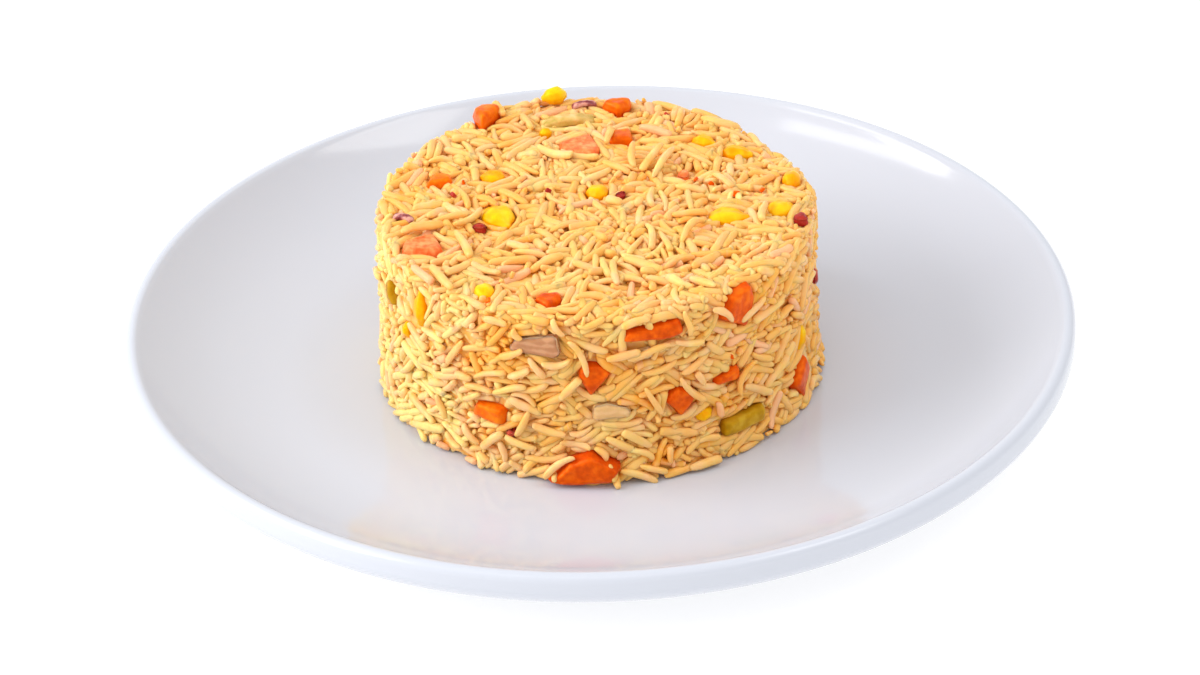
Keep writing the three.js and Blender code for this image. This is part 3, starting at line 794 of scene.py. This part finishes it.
crumb_turn = rng.uniform(0, tau, CRUMBS)
crumb_on_top = rng.uniform(0, 1, CRUMBS) < CRUMBS_ON_TOP
crumb_from = np.where(crumb_on_top, RADIUS * np.sqrt(rng.uniform(0, 1, CRUMBS)), RADIUS)
crumb_level = np.where(crumb_from < RADIUS, TOP, rng.uniform(BASE + 1, TOP, CRUMBS))
crumbs = np.column_stack([crumb_from * np.cos(crumb_turn), crumb_from * np.sin(crumb_turn), crumb_level])
from_face, crumb_out = mould(crumbs)
crumbs -= (from_face + rng.uniform(*CRUMB_DEPTH, CRUMBS))[:, None] * crumb_out
centres = np.vstack([centres, crumbs])
out = np.vstack([out, crumb_out])
along = np.vstack([along, lying(crumb_out, rng.uniform(0, pi, CRUMBS), rng.normal(0, CRUMB_LEAN, CRUMBS))])
bowed = np.vstack([bowed, unit(np.cross(along[-CRUMBS:], crumb_out + 0.01))])
long = np.concatenate([long, rng.uniform(*CRUMB_LENGTH, CRUMBS)])
wide = np.concatenate([wide, rng.uniform(*CRUMB_WIDTH, CRUMBS)])
bow = np.concatenate([bow, np.zeros(CRUMBS)])
kept = np.concatenate([kept, beyond_pieces(crumbs) > CRUMB_CLEAR])
is_named = np.concatenate([is_named, np.zeros(CRUMBS, dtype=bool)])
count += CRUMBS
print("crumbs kept:", int(kept[-CRUMBS:].sum()))

# %% [markdown]
# In a few patches more of the seasoning has soaked into the rice. A row has a patch's place in the
# picture, how far it reaches in millimetres, and how strong it is.

# %% Stained patches
STAINED = [
    (500, 345, 8, 0.8), (480, 362, 5, 0.6), (448, 224, 3, 1.0), (486, 224, 3, 0.8),
    (640, 404, 3.5, 0.9), (568, 350, 3, 0.9), (612, 368, 4, 0.7), (661, 458, 3.5, 0.9),
    (540, 400, 4, 0.7), (486, 437, 2.5, 0.9), (726, 408, 3.5, 0.8), (612, 472, 3.5, 0.9),
    (465, 355, 4, 0.6), (420, 190, 4, 0.7), (590, 290, 5, 0.5), (765, 300, 6, 0.6),
    (640, 178, 3, 0.6), (700, 140, 4, 0.7), (508, 425, 3, 0.8), (505, 122, 4, 0.5),
]
stained_rows = np.array(STAINED, dtype=float)
stained_places = on_face(stained_rows[:, 0], stained_rows[:, 1], 0)
print("stained patches:", len(stained_places))


def stain_at(points):
    amount = np.zeros(len(points))
    for place, (x, y, reach, strength) in zip(stained_places, STAINED):
        far = np.linalg.norm(points - place, axis=1)
        amount = np.maximum(amount, strength * np.exp(-((far / reach) ** 2)))
    return amount


# %% [markdown]
# Seasoning gathers where grains lie against each other, and light that gets in there has been through rice
# on its way, so the gaps are a deeper orange than the tops. That deeper colour is painted: it stands partly
# for the seasoning and partly for painted shade and the orange light between the grains. How far a point is
# shut in is worked out from the beads of other grains round it: each counts by the share of the view out
# that it takes.

# %% How shut in a point is
SHUT_IN_REACH = 2.4
BEAD_VIEW = 1.1
SHUT_IN_WEIGHT = 0.55
POINTS_AT_A_TIME = 20000

kept_beads = kept[owner]
beads = beads[kept_beads]
bead_owner = owner[kept_beads]
print("beads that can shut a point in:", len(beads))


def shut_in(points, normals, owners):
    """How much of the view out other grains take from each point, from 0 to 1."""
    taken = np.zeros(len(points))
    towards = unit(unit(normals) + mould(points)[1])
    for start in range(0, len(points), POINTS_AT_A_TIME):
        part = slice(start, start + POINTS_AT_A_TIME)
        i, j = near_pairs(points[part], beads, SHUT_IN_REACH)
        other = owners[part][i] != bead_owner[j]
        i, j = i[other], j[other]
        apart = beads[j] - points[part][i]
        far = np.maximum(np.linalg.norm(apart, axis=1), 0.1)
        facing_out = np.einsum("ij,ij->i", apart, towards[part][i]) / far
        share = np.maximum(facing_out, 0) * np.minimum(1, (BEAD_VIEW / far) ** 2)
        taken[part] = np.bincount(i, share, len(points[part]))
    return 1 - np.exp(-SHUT_IN_WEIGHT * taken)


# %% [markdown]
# On the left of the side, and a little on the top, starch fills the gaps, so they are shallower there, and
# the painted shade in them is lighter.

# %% Filled gaps, and what the material is told
FILLED_OVER = 12.0
FILLED_BELOW = TOP - 3
FILLED_ON_TOP = 0.5


def filled(x, z):
    """How far starch fills the gaps, from 0 to 1: wholly on the left of the side, and half on the top."""
    left = np.clip((CRUSHED_LEFT_OF - x) / FILLED_OVER, 0, 1)
    low = np.clip((FILLED_BELOW - z) / 3, 0, 1)
    return left * low + FILLED_ON_TOP * (1 - low)


def tell_shader(mesh, **values):
    """Stores numbers on the mesh's points, under names that the material reads."""
    for label, numbers in values.items():
        mesh.attributes.new(label, "FLOAT", "POINT").data.foreach_set("value", numbers.astype(np.float32))


def normals_of(mesh):
    found = np.empty(len(mesh.vertices) * 3, dtype=np.float32)
    mesh.vertex_normals.foreach_get("vector", found)
    return found.reshape(-1, 3).astype(float)


# %% [markdown]
# ## The shape of a grain
#
# A cooked long grain is a slim spindle, a little flattened, with blunt ends. One is shaped from a
# small sphere, with few faces because thousands of it are joined. Numpy then places a copy for
# each grain laid above, with that grain's own length, bow and roll.

# %% One grain
AROUND = 8
RINGS = [-0.95, -0.78, -0.4, 0.0, 0.4, 0.78, 0.95]  # places along the grain, in shares of its half length
GIRTHS = [0.56, 0.86, 1.0, 1.03, 1.0, 0.88, 0.58]

bm = bmesh.new()
bmesh.ops.create_uvsphere(bm, u_segments=AROUND, v_segments=len(RINGS) + 1, radius=1)
bm.verts.ensure_lookup_table()
levels = sorted({round(v.co.z, 4) for v in bm.verts})
places = dict(zip(levels, [-1.0] + RINGS + [1.0]))
girths = dict(zip(levels, [0.0] + GIRTHS + [0.0]))
grain_mesh = bpy.data.meshes.new("grain")
bm.to_mesh(grain_mesh)
bm.free()
spindle = np.array([v.co for v in grain_mesh.vertices])
axial = np.array([places[round(float(z), 4)] for z in spindle[:, 2]])
girth = np.array([girths[round(float(z), 4)] for z in spindle[:, 2]])
ring_of = np.searchsorted([-1.0] + RINGS + [1.0], axial)
round_way = unit(np.column_stack([spindle[:, 0], spindle[:, 1]]) + 1e-9)
face_sizes = np.array([len(f.vertices) for f in grain_mesh.polygons])
face_corners = np.concatenate([tuple(f.vertices) for f in grain_mesh.polygons])
print("faces of a grain:", len(face_sizes), "triangles:", int((face_sizes - 2).sum()))


# %% [markdown]
# The grains are joined into a few pieces, so that Blender handles three meshes and not thousands. A grain's
# crest is the palest part of it: its flanks get painted shade, a deeper colour where they turn away from the
# mould's face.

# %% Join the grains into pieces
LUMPINESS = 0.035
WAVE = 0.1  # how far a grain wanders from its even bow
TAPER = (0.5, 1.25)  # the higher, the more pointed the ends are
ONE_END = 0.12  # how much slimmer one end is than the other
FLATNESS = (0.72, 0.92)
FLANK_SHADE = 0.12  # painted shade: a grain's flanks are this much deeper in colour than its crest
STAIN_DEEPENS = 0.6
PALE_GAPS = 0.45
PINK_BELOW = 0.05  # grains with a tone under this took up colour from the onion
PALEST = 1.4
TONE_ALONG = 0.12


def grain_piece(name, chosen, finish):
    chosen = np.where(chosen)[0]
    many = len(chosen)
    c, d, b = centres[chosen], along[chosen], bowed[chosen]
    n = np.cross(d, b)
    size = len(spindle)
    half = (long[chosen] / 2)[:, None]
    arc = bow[chosen][:, None] * (1 - axial**2) - bow[chosen][:, None] * 0.5
    lumps = 1 + LUMPINESS * rng.normal(0, 1, (many, len(RINGS) + 2))[:, ring_of]
    slimmer = 1 - ONE_END * axial * rng.choice([-1, 1], many)[:, None]
    taper = rng.uniform(*TAPER, many)[:, None]
    radius = (wide[chosen] / 2)[:, None] * girth**taper * lumps * slimmer
    flatness = rng.uniform(*FLATNESS, many)[:, None]
    x = half * axial
    wave = rng.normal(0, WAVE, (2, many, 1)) * np.sin(pi * axial)
    y = radius * round_way[:, 0] * flatness + arc + wave[0]
    z = radius * round_way[:, 1] + wave[1]
    points = c[:, None] + x[..., None] * d[:, None] + y[..., None] * b[:, None] + z[..., None] * n[:, None]
    points = points.reshape(-1, 3)
    corners = (face_corners[None] + (np.arange(many) * size)[:, None]).ravel()
    starts = np.concatenate([[0], np.cumsum(np.tile(face_sizes, many))[:-1]])
    mesh = bpy.data.meshes.new(name)
    mesh.vertices.add(len(points))
    mesh.vertices.foreach_set("co", (points * MM).ravel())
    mesh.loops.add(len(corners))
    mesh.loops.foreach_set("vertex_index", corners)
    mesh.polygons.add(len(starts))
    mesh.polygons.foreach_set("loop_start", starts)
    mesh.polygons.foreach_set("use_smooth", np.ones(len(starts), dtype=bool))
    mesh.update(calc_edges=True)
    ways = normals_of(mesh)
    # painted shade: how far each point's normal turns away from the mould's face
    flank_shade = 1 - np.clip(np.einsum("ij,ij->i", ways, mould(points)[1]), 0, 1)
    # painted shade and seasoning: points shut in by other grains, and the flanks, are deepened towards the
    # gap colour; the stained patches add real seasoning
    covered = shut_in(points, ways, np.repeat(chosen, size)) + FLANK_SHADE * flank_shade
    covered *= 1 - PALE_GAPS * filled(points[:, 0], points[:, 2])
    covered = np.clip(covered + STAIN_DEEPENS * stain_at(points), 0, 1)
    along_tone = rng.normal(0, TONE_ALONG, (many, len(RINGS) + 2))[:, ring_of]
    shade = np.clip(tone[chosen] + along_tone.T, PINK_BELOW, PALEST)
    shade = np.where(tone[chosen] < PINK_BELOW, 0, shade).T.ravel()
    tell_shader(mesh, covered=covered, tone=shade)
    piece(name, mesh, finish, ["rice"])
    print(name, "grains:", many, "triangles:", int((face_sizes - 2).sum()) * many)


# %% [markdown]
# ## The finish of the rice
#
# Cooked rice lets light into its surface, so its shadows glow orange instead of going grey. Each grain has
# its own tone between pale and deep yellow, and on the side the tone is also painted paler towards the lit
# left and deeper towards the right. What lies deeper is painted darker and more orange, partly for the
# seasoning and partly as painted shade. Both are stored on the mesh as attributes, which the material reads.

# %% Tones of the grains
TONE_MEAN = 0.58
TONE_SPREAD = 0.17
DRIFT_SIZE = 16.0
DRIFT = 0.35
LIT_LEFT_SHADED_RIGHT = (0.6, 0.25)  # painted light and shade: paler towards the lit left edge, and the opposite towards the right
STAIN_TONE = 0.7
NAMED_TONES = (0.55, 0.9)
PINK_SHARE = 0.035

drift = np.array([noise.noise(Vector(c) / DRIFT_SIZE + Vector((5, 3, 1))) for c in centres])
# painted light and shade: on the side, grains are paler towards the lit left and deeper towards the right
lit_left_shaded_right = np.where(centres[:, 0] < 0, -LIT_LEFT_SHADED_RIGHT[0], -LIT_LEFT_SHADED_RIGHT[1]) * centres[:, 0] / RADIUS
lit_left_shaded_right = lit_left_shaded_right * on_side(out)
tone = rng.normal(TONE_MEAN, TONE_SPREAD, count) + DRIFT * drift + lit_left_shaded_right - STAIN_TONE * stain_at(centres)
tone[is_named] = rng.uniform(*NAMED_TONES, is_named.sum())
tone = np.clip(tone, PINK_BELOW, PALEST)
tone[rng.uniform(0, 1, count) < PINK_SHARE] = 0
print("tones, in quarters:", np.quantile(tone, (0, 0.25, 0.5, 0.75, 1)).round(2).tolist())

# %% Rice material
PALE = (0.885, 0.60, 0.20)
ROSY = (0.905, 0.555, 0.26)
DEEP = (0.90, 0.445, 0.08)
# the gap colour: painted shade between the grains, and seasoning
GAP_SHADE_AND_STAIN = (0.92, 0.37, 0.018)
PINK = (0.93, 0.49, 0.24)
PALEST_AND_LIT = (0.93, 0.70, 0.24)  # the palest grains: a few random ones, and the side's left, where painted light lifts the tone
CLOUDED = 0.5  # how far the tone changes within a grain


def rice_material():
    inside = {"subsurface_weight": 0.5, "subsurface_scale": 0.0009, "subsurface_radius": (1.0, 0.85, 0.7)}
    skin = {"roughness": 0.27, "ior": 1.38, "specular_ior_level": 0.5, "specular_tint": (1, 0.78, 0.48, 1)}
    made, tree, shader = material("rice", **inside, **skin)
    place = node(tree, "ShaderNodeTexCoord")
    own = node(tree, "ShaderNodeAttribute", attribute_name="tone")
    spread = ((1 - CLOUDED) / PALEST, (1 + CLOUDED) / PALEST)
    cloud = remap(tree, noise_at(tree, place, 420, 4), target=spread)
    clouded = node(tree, "ShaderNodeMath", [(0, own.outputs["Fac"]), (1, cloud)], operation="MULTIPLY")
    colours = []
    for end in (PALE, ROSY):
        middling = tuple((a + b) / 2 for a, b in zip(end, DEEP))
        stops = [(0.0, PINK), (0.02, PINK), (0.05, DEEP), (0.36, middling), (0.71, end), (1.0, PALEST_AND_LIT)]
        colours.append(ramp(tree, clouded.outputs["Value"], stops))
    rosiness = remap(tree, noise_at(tree, place, 170, 2), source=(0.4, 0.6))
    blend = [("Factor", rosiness), ("A", colours[0]), ("B", colours[1])]
    colour = node(tree, "ShaderNodeMix", blend, data_type="RGBA").outputs["Result"]
    # painted shade and seasoning: the stored amount mixes the colour towards the gap colour
    covered = node(tree, "ShaderNodeAttribute", attribute_name="covered")
    amount = remap(tree, covered.outputs["Fac"], source=(0.15, 0.92))
    tree.links.new(deepened(tree, amount, colour, GAP_SHADE_AND_STAIN), shader.inputs["Base Color"])
    bump(tree, shader, noise_at(tree, place, 900, 2), 0.25, 0.0002)
    return made


rice_finish = rice_material()
print("nodes in the rice:", len(rice_finish.node_tree.nodes))

# %% Lay the pieces of rice
TOP_SPLIT = 8  # the top is split here, from front to back

side_grain = on_side(out)
front = centres[:, 1] < 0
near_half = centres[:, 1] < TOP_SPLIT
grain_piece("rice_grains_front", kept & side_grain & front, rice_finish)
grain_piece("rice_grains_back", kept & side_grain & ~front, rice_finish)
grain_piece("rice_grains_top_front", kept & ~side_grain & near_half, rice_finish)
grain_piece("rice_grains_top_back", kept & ~side_grain & ~near_half, rice_finish)

# %% [markdown]
# ## The inside of the round
#
# Behind the grains laid one by one the rice is packed too tight to see into. A lumpy core fills it, in the
# darker colour of the gaps, which is partly painted shade: the core is deepened by how shut in it is and by
# a little more. It is a cylinder, cut into small faces and pushed about by noise.

# %% The core
CORE_DEPTH = 2.2 * MM
CORE_STEP = 1.2 * MM
CORE_RELIEF = 0.45 * MM
CORE_LUMPS = ((2.1 * MM, 1), (5 * MM, 0.6))  # size, and share of the relief
CORE_OUT = 0.15  # where starch fills the gaps
# painted shade added to the core's shut-in amount
CORE_MORE_SHADE = 0.2
FLAT_FOOT = 0.5

core_radius = MOULD_RADIUS - CORE_DEPTH
core_height = MOULD_TOP - CORE_DEPTH - BASE_LEVEL
bm = bmesh.new()
bmesh.ops.create_cone(
    bm,
    cap_ends=True,
    cap_tris=False,
    segments=int(tau * core_radius / CORE_STEP),
    radius1=core_radius,
    radius2=core_radius,
    depth=core_height,
    matrix=Matrix.Translation((0, 0, BASE_LEVEL + core_height / 2)),
)
tall = [e for e in bm.edges if abs(e.verts[0].co.z - e.verts[1].co.z) > MM]
bmesh.ops.subdivide_edges(bm, edges=tall, cuts=int(core_height / CORE_STEP), use_grid_fill=True)
caps = [f for f in bm.faces if len(f.verts) > 4 and f.normal.z > 0]
for step in range(int(core_radius / CORE_STEP) - 3):
    bmesh.ops.inset_region(bm, faces=caps, thickness=CORE_STEP, use_even_offset=True)
bmesh.ops.triangulate(bm, faces=[f for f in bm.faces if len(f.verts) > 4])
for vertex in bm.verts:
    x, y, z = vertex.co / MM
    if z > BASE + FLAT_FOOT:
        vertex.co.z += float(top_rise(x, y)) * MM * ((z - BASE) / (TOP - BASE)) ** 3
        outward = Vector((x, y, 0)).normalized()
        vertex.co += outward * float(foot_spread(z) + CORE_OUT * filled(x, z)) * MM
        for size, share in CORE_LUMPS:
            vertex.co += noise.noise_vector(vertex.co / size) * CORE_RELIEF * share
bmesh.ops.recalc_face_normals(bm, faces=bm.faces)
core = piece_from("rice_core", bm, rice_finish, ["rice"])
core_points = points_of(core.data)
# painted shade: the core is deepened like the gaps between grains, and a little more
core_covered = shut_in(core_points, normals_of(core.data), np.full(len(core_points), -1)) + CORE_MORE_SHADE
core_tone = np.array([0.5 + noise.noise(Vector(p) / 2.5) for p in core_points])
tell_shader(core.data, covered=np.clip(core_covered, 0, 1), tone=np.clip(core_tone, PINK_BELOW * 2, 1))
print("core faces:", len(core.data.polygons))


# %% [markdown]
# ## Vegetable finishes
#
# Boiled carrot is a strong orange with paler strands and a moist skin. Sweetcorn is a clear yellow, deeper
# where it goes down into the rice. Beans turn olive, onion goes glassy, and the skin of a red pepper stays
# dark. One function with three colours and two noises makes them all uneven in the same natural way, and
# each piece is painted darker where it goes down into the rice, partly for seasoning and partly as painted
# shade. Onions are layered, so bands take the place of the coarser noise.

# %% Vegetable materials
LAYERS = 150
LAYERS_BENT = 3
FINE_SHARE = 0.45
FINE_ON_LAYERS = 0.75


def vegetable_material(name, dark, mid, light, scale, roughness, depth, weight=0.25, layered=""):
    inside = {"subsurface_weight": weight, "subsurface_scale": depth, "subsurface_radius": (1.0, 0.5, 0.25)}
    tint = (1, *(min(1, 3 * x + 0.1) for x in light[1:]), 1)
    skin = {"roughness": roughness, "ior": 1.42, "specular_ior_level": 0.5, "specular_tint": tint}
    made, tree, shader = material(name, **inside, **skin)
    place = node(tree, "ShaderNodeTexCoord")
    coarse = noise_at(tree, place, scale, 2)
    if layered:
        links = [("Vector", place.outputs["Object"])]
        bands = node(tree, "ShaderNodeTexWave", links, Scale=LAYERS, Distortion=LAYERS_BENT)
        bands.bands_direction = layered
        coarse = bands.outputs["Fac"]
    fine = noise_at(tree, place, scale * 4, 5)
    share = FINE_ON_LAYERS if layered else FINE_SHARE
    both = node(tree, "ShaderNodeMix", [("A", coarse), ("B", fine)], Factor=share)
    colour = ramp(tree, both.outputs["Result"], [(0.36, dark), (0.5, mid), (0.62, light)])
    # painted shade and seasoning: the part of a piece down in the rice is mixed towards the dark colour
    sunk = node(tree, "ShaderNodeAttribute", attribute_name="sunk")
    tree.links.new(deepened(tree, sunk.outputs["Fac"], colour, dark), shader.inputs["Base Color"])
    bump(tree, shader, fine, 0.5, 0.0004)
    return made


# Dark, middle and light colour, the noise's scale, roughness, how deep light goes, and how much of it.
ROWS = {
    "carrot": ((0.62, 0.056, 0.001), (0.80, 0.097, 0.002), (0.92, 0.16, 0.005), 160, 0.32, 0.0012),
    # the next row is painted light: a lighter copy of the carrot finish
    "carrot_painted_lit": ((0.74, 0.085, 0.001), (0.88, 0.145, 0.002), (0.93, 0.215, 0.005), 160, 0.32, 0.0012),
    "carrot_pale": ((0.78, 0.11, 0.018), (0.90, 0.22, 0.06), (0.93, 0.37, 0.13), 200, 0.32, 0.0016, 0.35),
    "corn": ((0.90, 0.32, 0.001), (0.93, 0.46, 0.002), (0.94, 0.58, 0.01), 90, 0.33, 0.0015),
    "corn_yellow": ((0.92, 0.40, 0.001), (0.94, 0.60, 0.004), (0.94, 0.72, 0.03), 90, 0.33, 0.0015),
    "green_bean": ((0.36, 0.17, 0.002), (0.50, 0.24, 0.003), (0.60, 0.34, 0.02), 110, 0.38, 0.001),
    "bean_pale": ((0.52, 0.34, 0.05), (0.74, 0.46, 0.13), (0.86, 0.58, 0.24), 130, 0.4, 0.002),
    "onion": ((0.78, 0.45, 0.18), (0.80, 0.47, 0.19), (0.84, 0.51, 0.23), 140, 0.35, 0.003, 0.5, "Z"),
    "onion_glassy": (
        (0.51, 0.225, 0.105), (0.56, 0.265, 0.13), (0.64, 0.33, 0.17), 90, 0.25, 0.003, 0.6, "Z"
    ),
    "red_onion": ((0.22, 0.03, 0.04), (0.42, 0.12, 0.11), (0.74, 0.36, 0.28), 200, 0.35, 0.001, 0.25, "Y"),
    "red_pepper": ((0.32, 0.015, 0.015), (0.45, 0.03, 0.02), (0.62, 0.10, 0.05), 160, 0.28, 0.001),
}
FINISHES = {name: vegetable_material(name, *row) for name, row in ROWS.items()}
SPECIAL = {  # pieces that differ from their kind
    # painted light: these carrots take the lighter copy of the carrot finish
    "carrot_painted_lit": ("carrot_01", "carrot_02", "carrot_03", "carrot_05", "carrot_15", "carrot_18"),
    "carrot_pale": ("carrot_04", "carrot_06", "carrot_08"),
    "corn_yellow": ("corn_01", "corn_06", "corn_10"),
    "bean_pale": ("green_bean_01",),
    "onion_glassy": ("onion_01",),
}
FINISH_OF = {name: finish for finish, names in SPECIAL.items() for name in names}
print("vegetable finishes:", len(FINISHES), "pieces that differ from their kind:", len(FINISH_OF))

# %% [markdown]
# A boiled dice is soft at its edges and a little swollen. Where it goes down between the grains its colour
# is painted darker, partly for seasoning and partly as painted shade. A bevel and a few cuts make each copy
# fine enough for noise to swell it, and corn gets smooth cuts.

# %% Soften and dress each piece
SUNK_FROM = 0.7  # mm under a piece's outermost point, where painted shade and seasoning start to deepen its colour
SUNK_OVER = 3.2
SHARP = radians(30)
SOFTENED = 0.9 * MM
LONGEST_EDGE = 1.5 * MM
SWELLING = 0.35 * MM
SWELLING_SIZE = 5 * MM
RELIEF = {"carrot": 0.22 * MM, "corn": 0.12 * MM}
RELIEF_OF_OTHERS = 0.15 * MM
RELIEF_SIZE = 2.2 * MM


def fit_in(bm, low, high):
    """Scales a piece back where it has swollen past its solid's box."""
    for axis in range(3):
        reach = [v.co[axis] for v in bm.verts]
        middle = (low[axis] + high[axis]) / 2
        allowed = (high[axis] - low[axis]) / 2
        half = max(middle - min(reach), max(reach) - middle)
        if half > allowed:
            factor = Vector((1, 1, 1))
            factor[axis] = allowed / half
            shift = Vector((0, 0, 0))
            shift[axis] = middle
            bmesh.ops.scale(bm, vec=factor, space=Matrix.Translation(-shift), verts=bm.verts)


for name in vegetables:
    kind = name.rsplit("_", 1)[0]
    bm = copy_of(name)
    if kind == "corn":
        bmesh.ops.subdivide_edges(bm, edges=bm.edges, cuts=3, smooth=1.0, use_grid_fill=True)
        axes = {"use_axis_x": True, "use_axis_y": True, "use_axis_z": True}
        bmesh.ops.smooth_vert(bm, verts=bm.verts, factor=0.5, **axes)
    else:
        sharp = [e for e in bm.edges if len(e.link_faces) == 2 and e.calc_face_angle() > SHARP]
        round_edges(bm, sharp, SOFTENED, 3)
        coarse = [e for e in bm.edges if e.calc_length() > LONGEST_EDGE]
        bmesh.ops.subdivide_edges(bm, edges=coarse, cuts=4, use_grid_fill=True)
    bmesh.ops.triangulate(bm, faces=bm.faces)
    bmesh.ops.recalc_face_normals(bm, faces=bm.faces)
    relief = RELIEF.get(kind, RELIEF_OF_OTHERS)
    for vertex in bm.verts:
        fine = relief * noise.noise(vertex.co / RELIEF_SIZE)
        vertex.co += vertex.normal * (fine + SWELLING * noise.noise(vertex.co / SWELLING_SIZE))
    fit_in(bm, *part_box(name))
    made = piece_from(name + "_cooked", bm, FINISHES[FINISH_OF.get(name, kind)], [name])
    outward = mould(points_of(made.data))[0]
    # painted shade and seasoning, deeper the further a point is under the piece's outermost point
    tell_shader(made.data, sunk=np.clip((outward.max() - outward - SUNK_FROM) / SUNK_OVER, 0, 1))
print("vegetables dressed:", len(vegetables))

# %% [markdown]
# Chips off the carrot and the pepper lie scattered through the rice. They are small cubes with their
# corners pushed about. A few are where the photo has them, and the others fall by chance.

# %% Chips
CHIPS = [  # azimuth in degrees, then the distance from the axis on the top or the level on the side
    ("red_pepper", "side", -108.6, 57.5),
    ("red_pepper", "side", -105.6, 55.2),
    ("red_pepper", "side", -100.6, 47.8),
    ("carrot", "side", -54.4, 39.8),
    ("carrot", "top", 22, 30.5),
    ("red_pepper", "top", 150, 15),
    ("carrot", "top", 5.4, 46.6),
    ("red_pepper", "top", 170, 40),
]
CHANCE_CHIPS = 10
CARROT_SHARE = 0.6
CHIPS_ON_TOP = 0.35
CHIP_SIZES = (0.9, 1.7)
CHIP_PROUD = 0.1
CHIP_ROUGH = 0.25
CHIP_ROUND = 0.3 * MM
CHIP_CLEAR = -2


def chip_row(i):
    kind = "carrot" if rng.uniform(0, 1) < CARROT_SHARE else "red_pepper"
    if rng.uniform(0, 1) < CHIPS_ON_TOP:
        return kind, "top", rng.uniform(0, 360), RADIUS * rng.uniform(0, 1) ** 0.5
    return kind, "side", rng.uniform(0, 360), rng.uniform(BASE + 3, TOP - 2)


rows = CHIPS + [chip_row(i) for i in range(CHANCE_CHIPS)]
for kind in ("carrot", "red_pepper"):
    bm = bmesh.new()
    for row_kind, side, azimuth, at in rows:
        if row_kind != kind:
            continue
        distance, level = (at, TOP) if side == "top" else (RADIUS, at)
        spot = np.array([[distance * cos(radians(azimuth)), distance * sin(radians(azimuth)), level]])
        from_face, way = mould(spot)
        spot = spot + (CHIP_PROUD - from_face[0]) * way
        if beyond_pieces(spot)[0] < CHIP_CLEAR:
            continue
        size = rng.uniform(*CHIP_SIZES, 3)
        turned = Matrix.Rotation(rng.uniform(0, tau), 4, Vector(unit(rng.normal(0, 1, 3))))
        placed = Matrix.Translation(Vector(spot[0]) * MM) @ turned @ Matrix.Diagonal((*(size * MM), 1))
        cube = bmesh.ops.create_cube(bm, size=1, matrix=placed)
        for vertex in cube["verts"]:
            vertex.co += Vector(rng.uniform(-CHIP_ROUGH, CHIP_ROUGH, 3)) * MM
    round_edges(bm, bm.edges[:], CHIP_ROUND, 2)
    made = piece_from(kind + "_chips", bm, FINISHES[kind], ["rice"])
    print(made.name, "faces:", len(made.data.polygons))
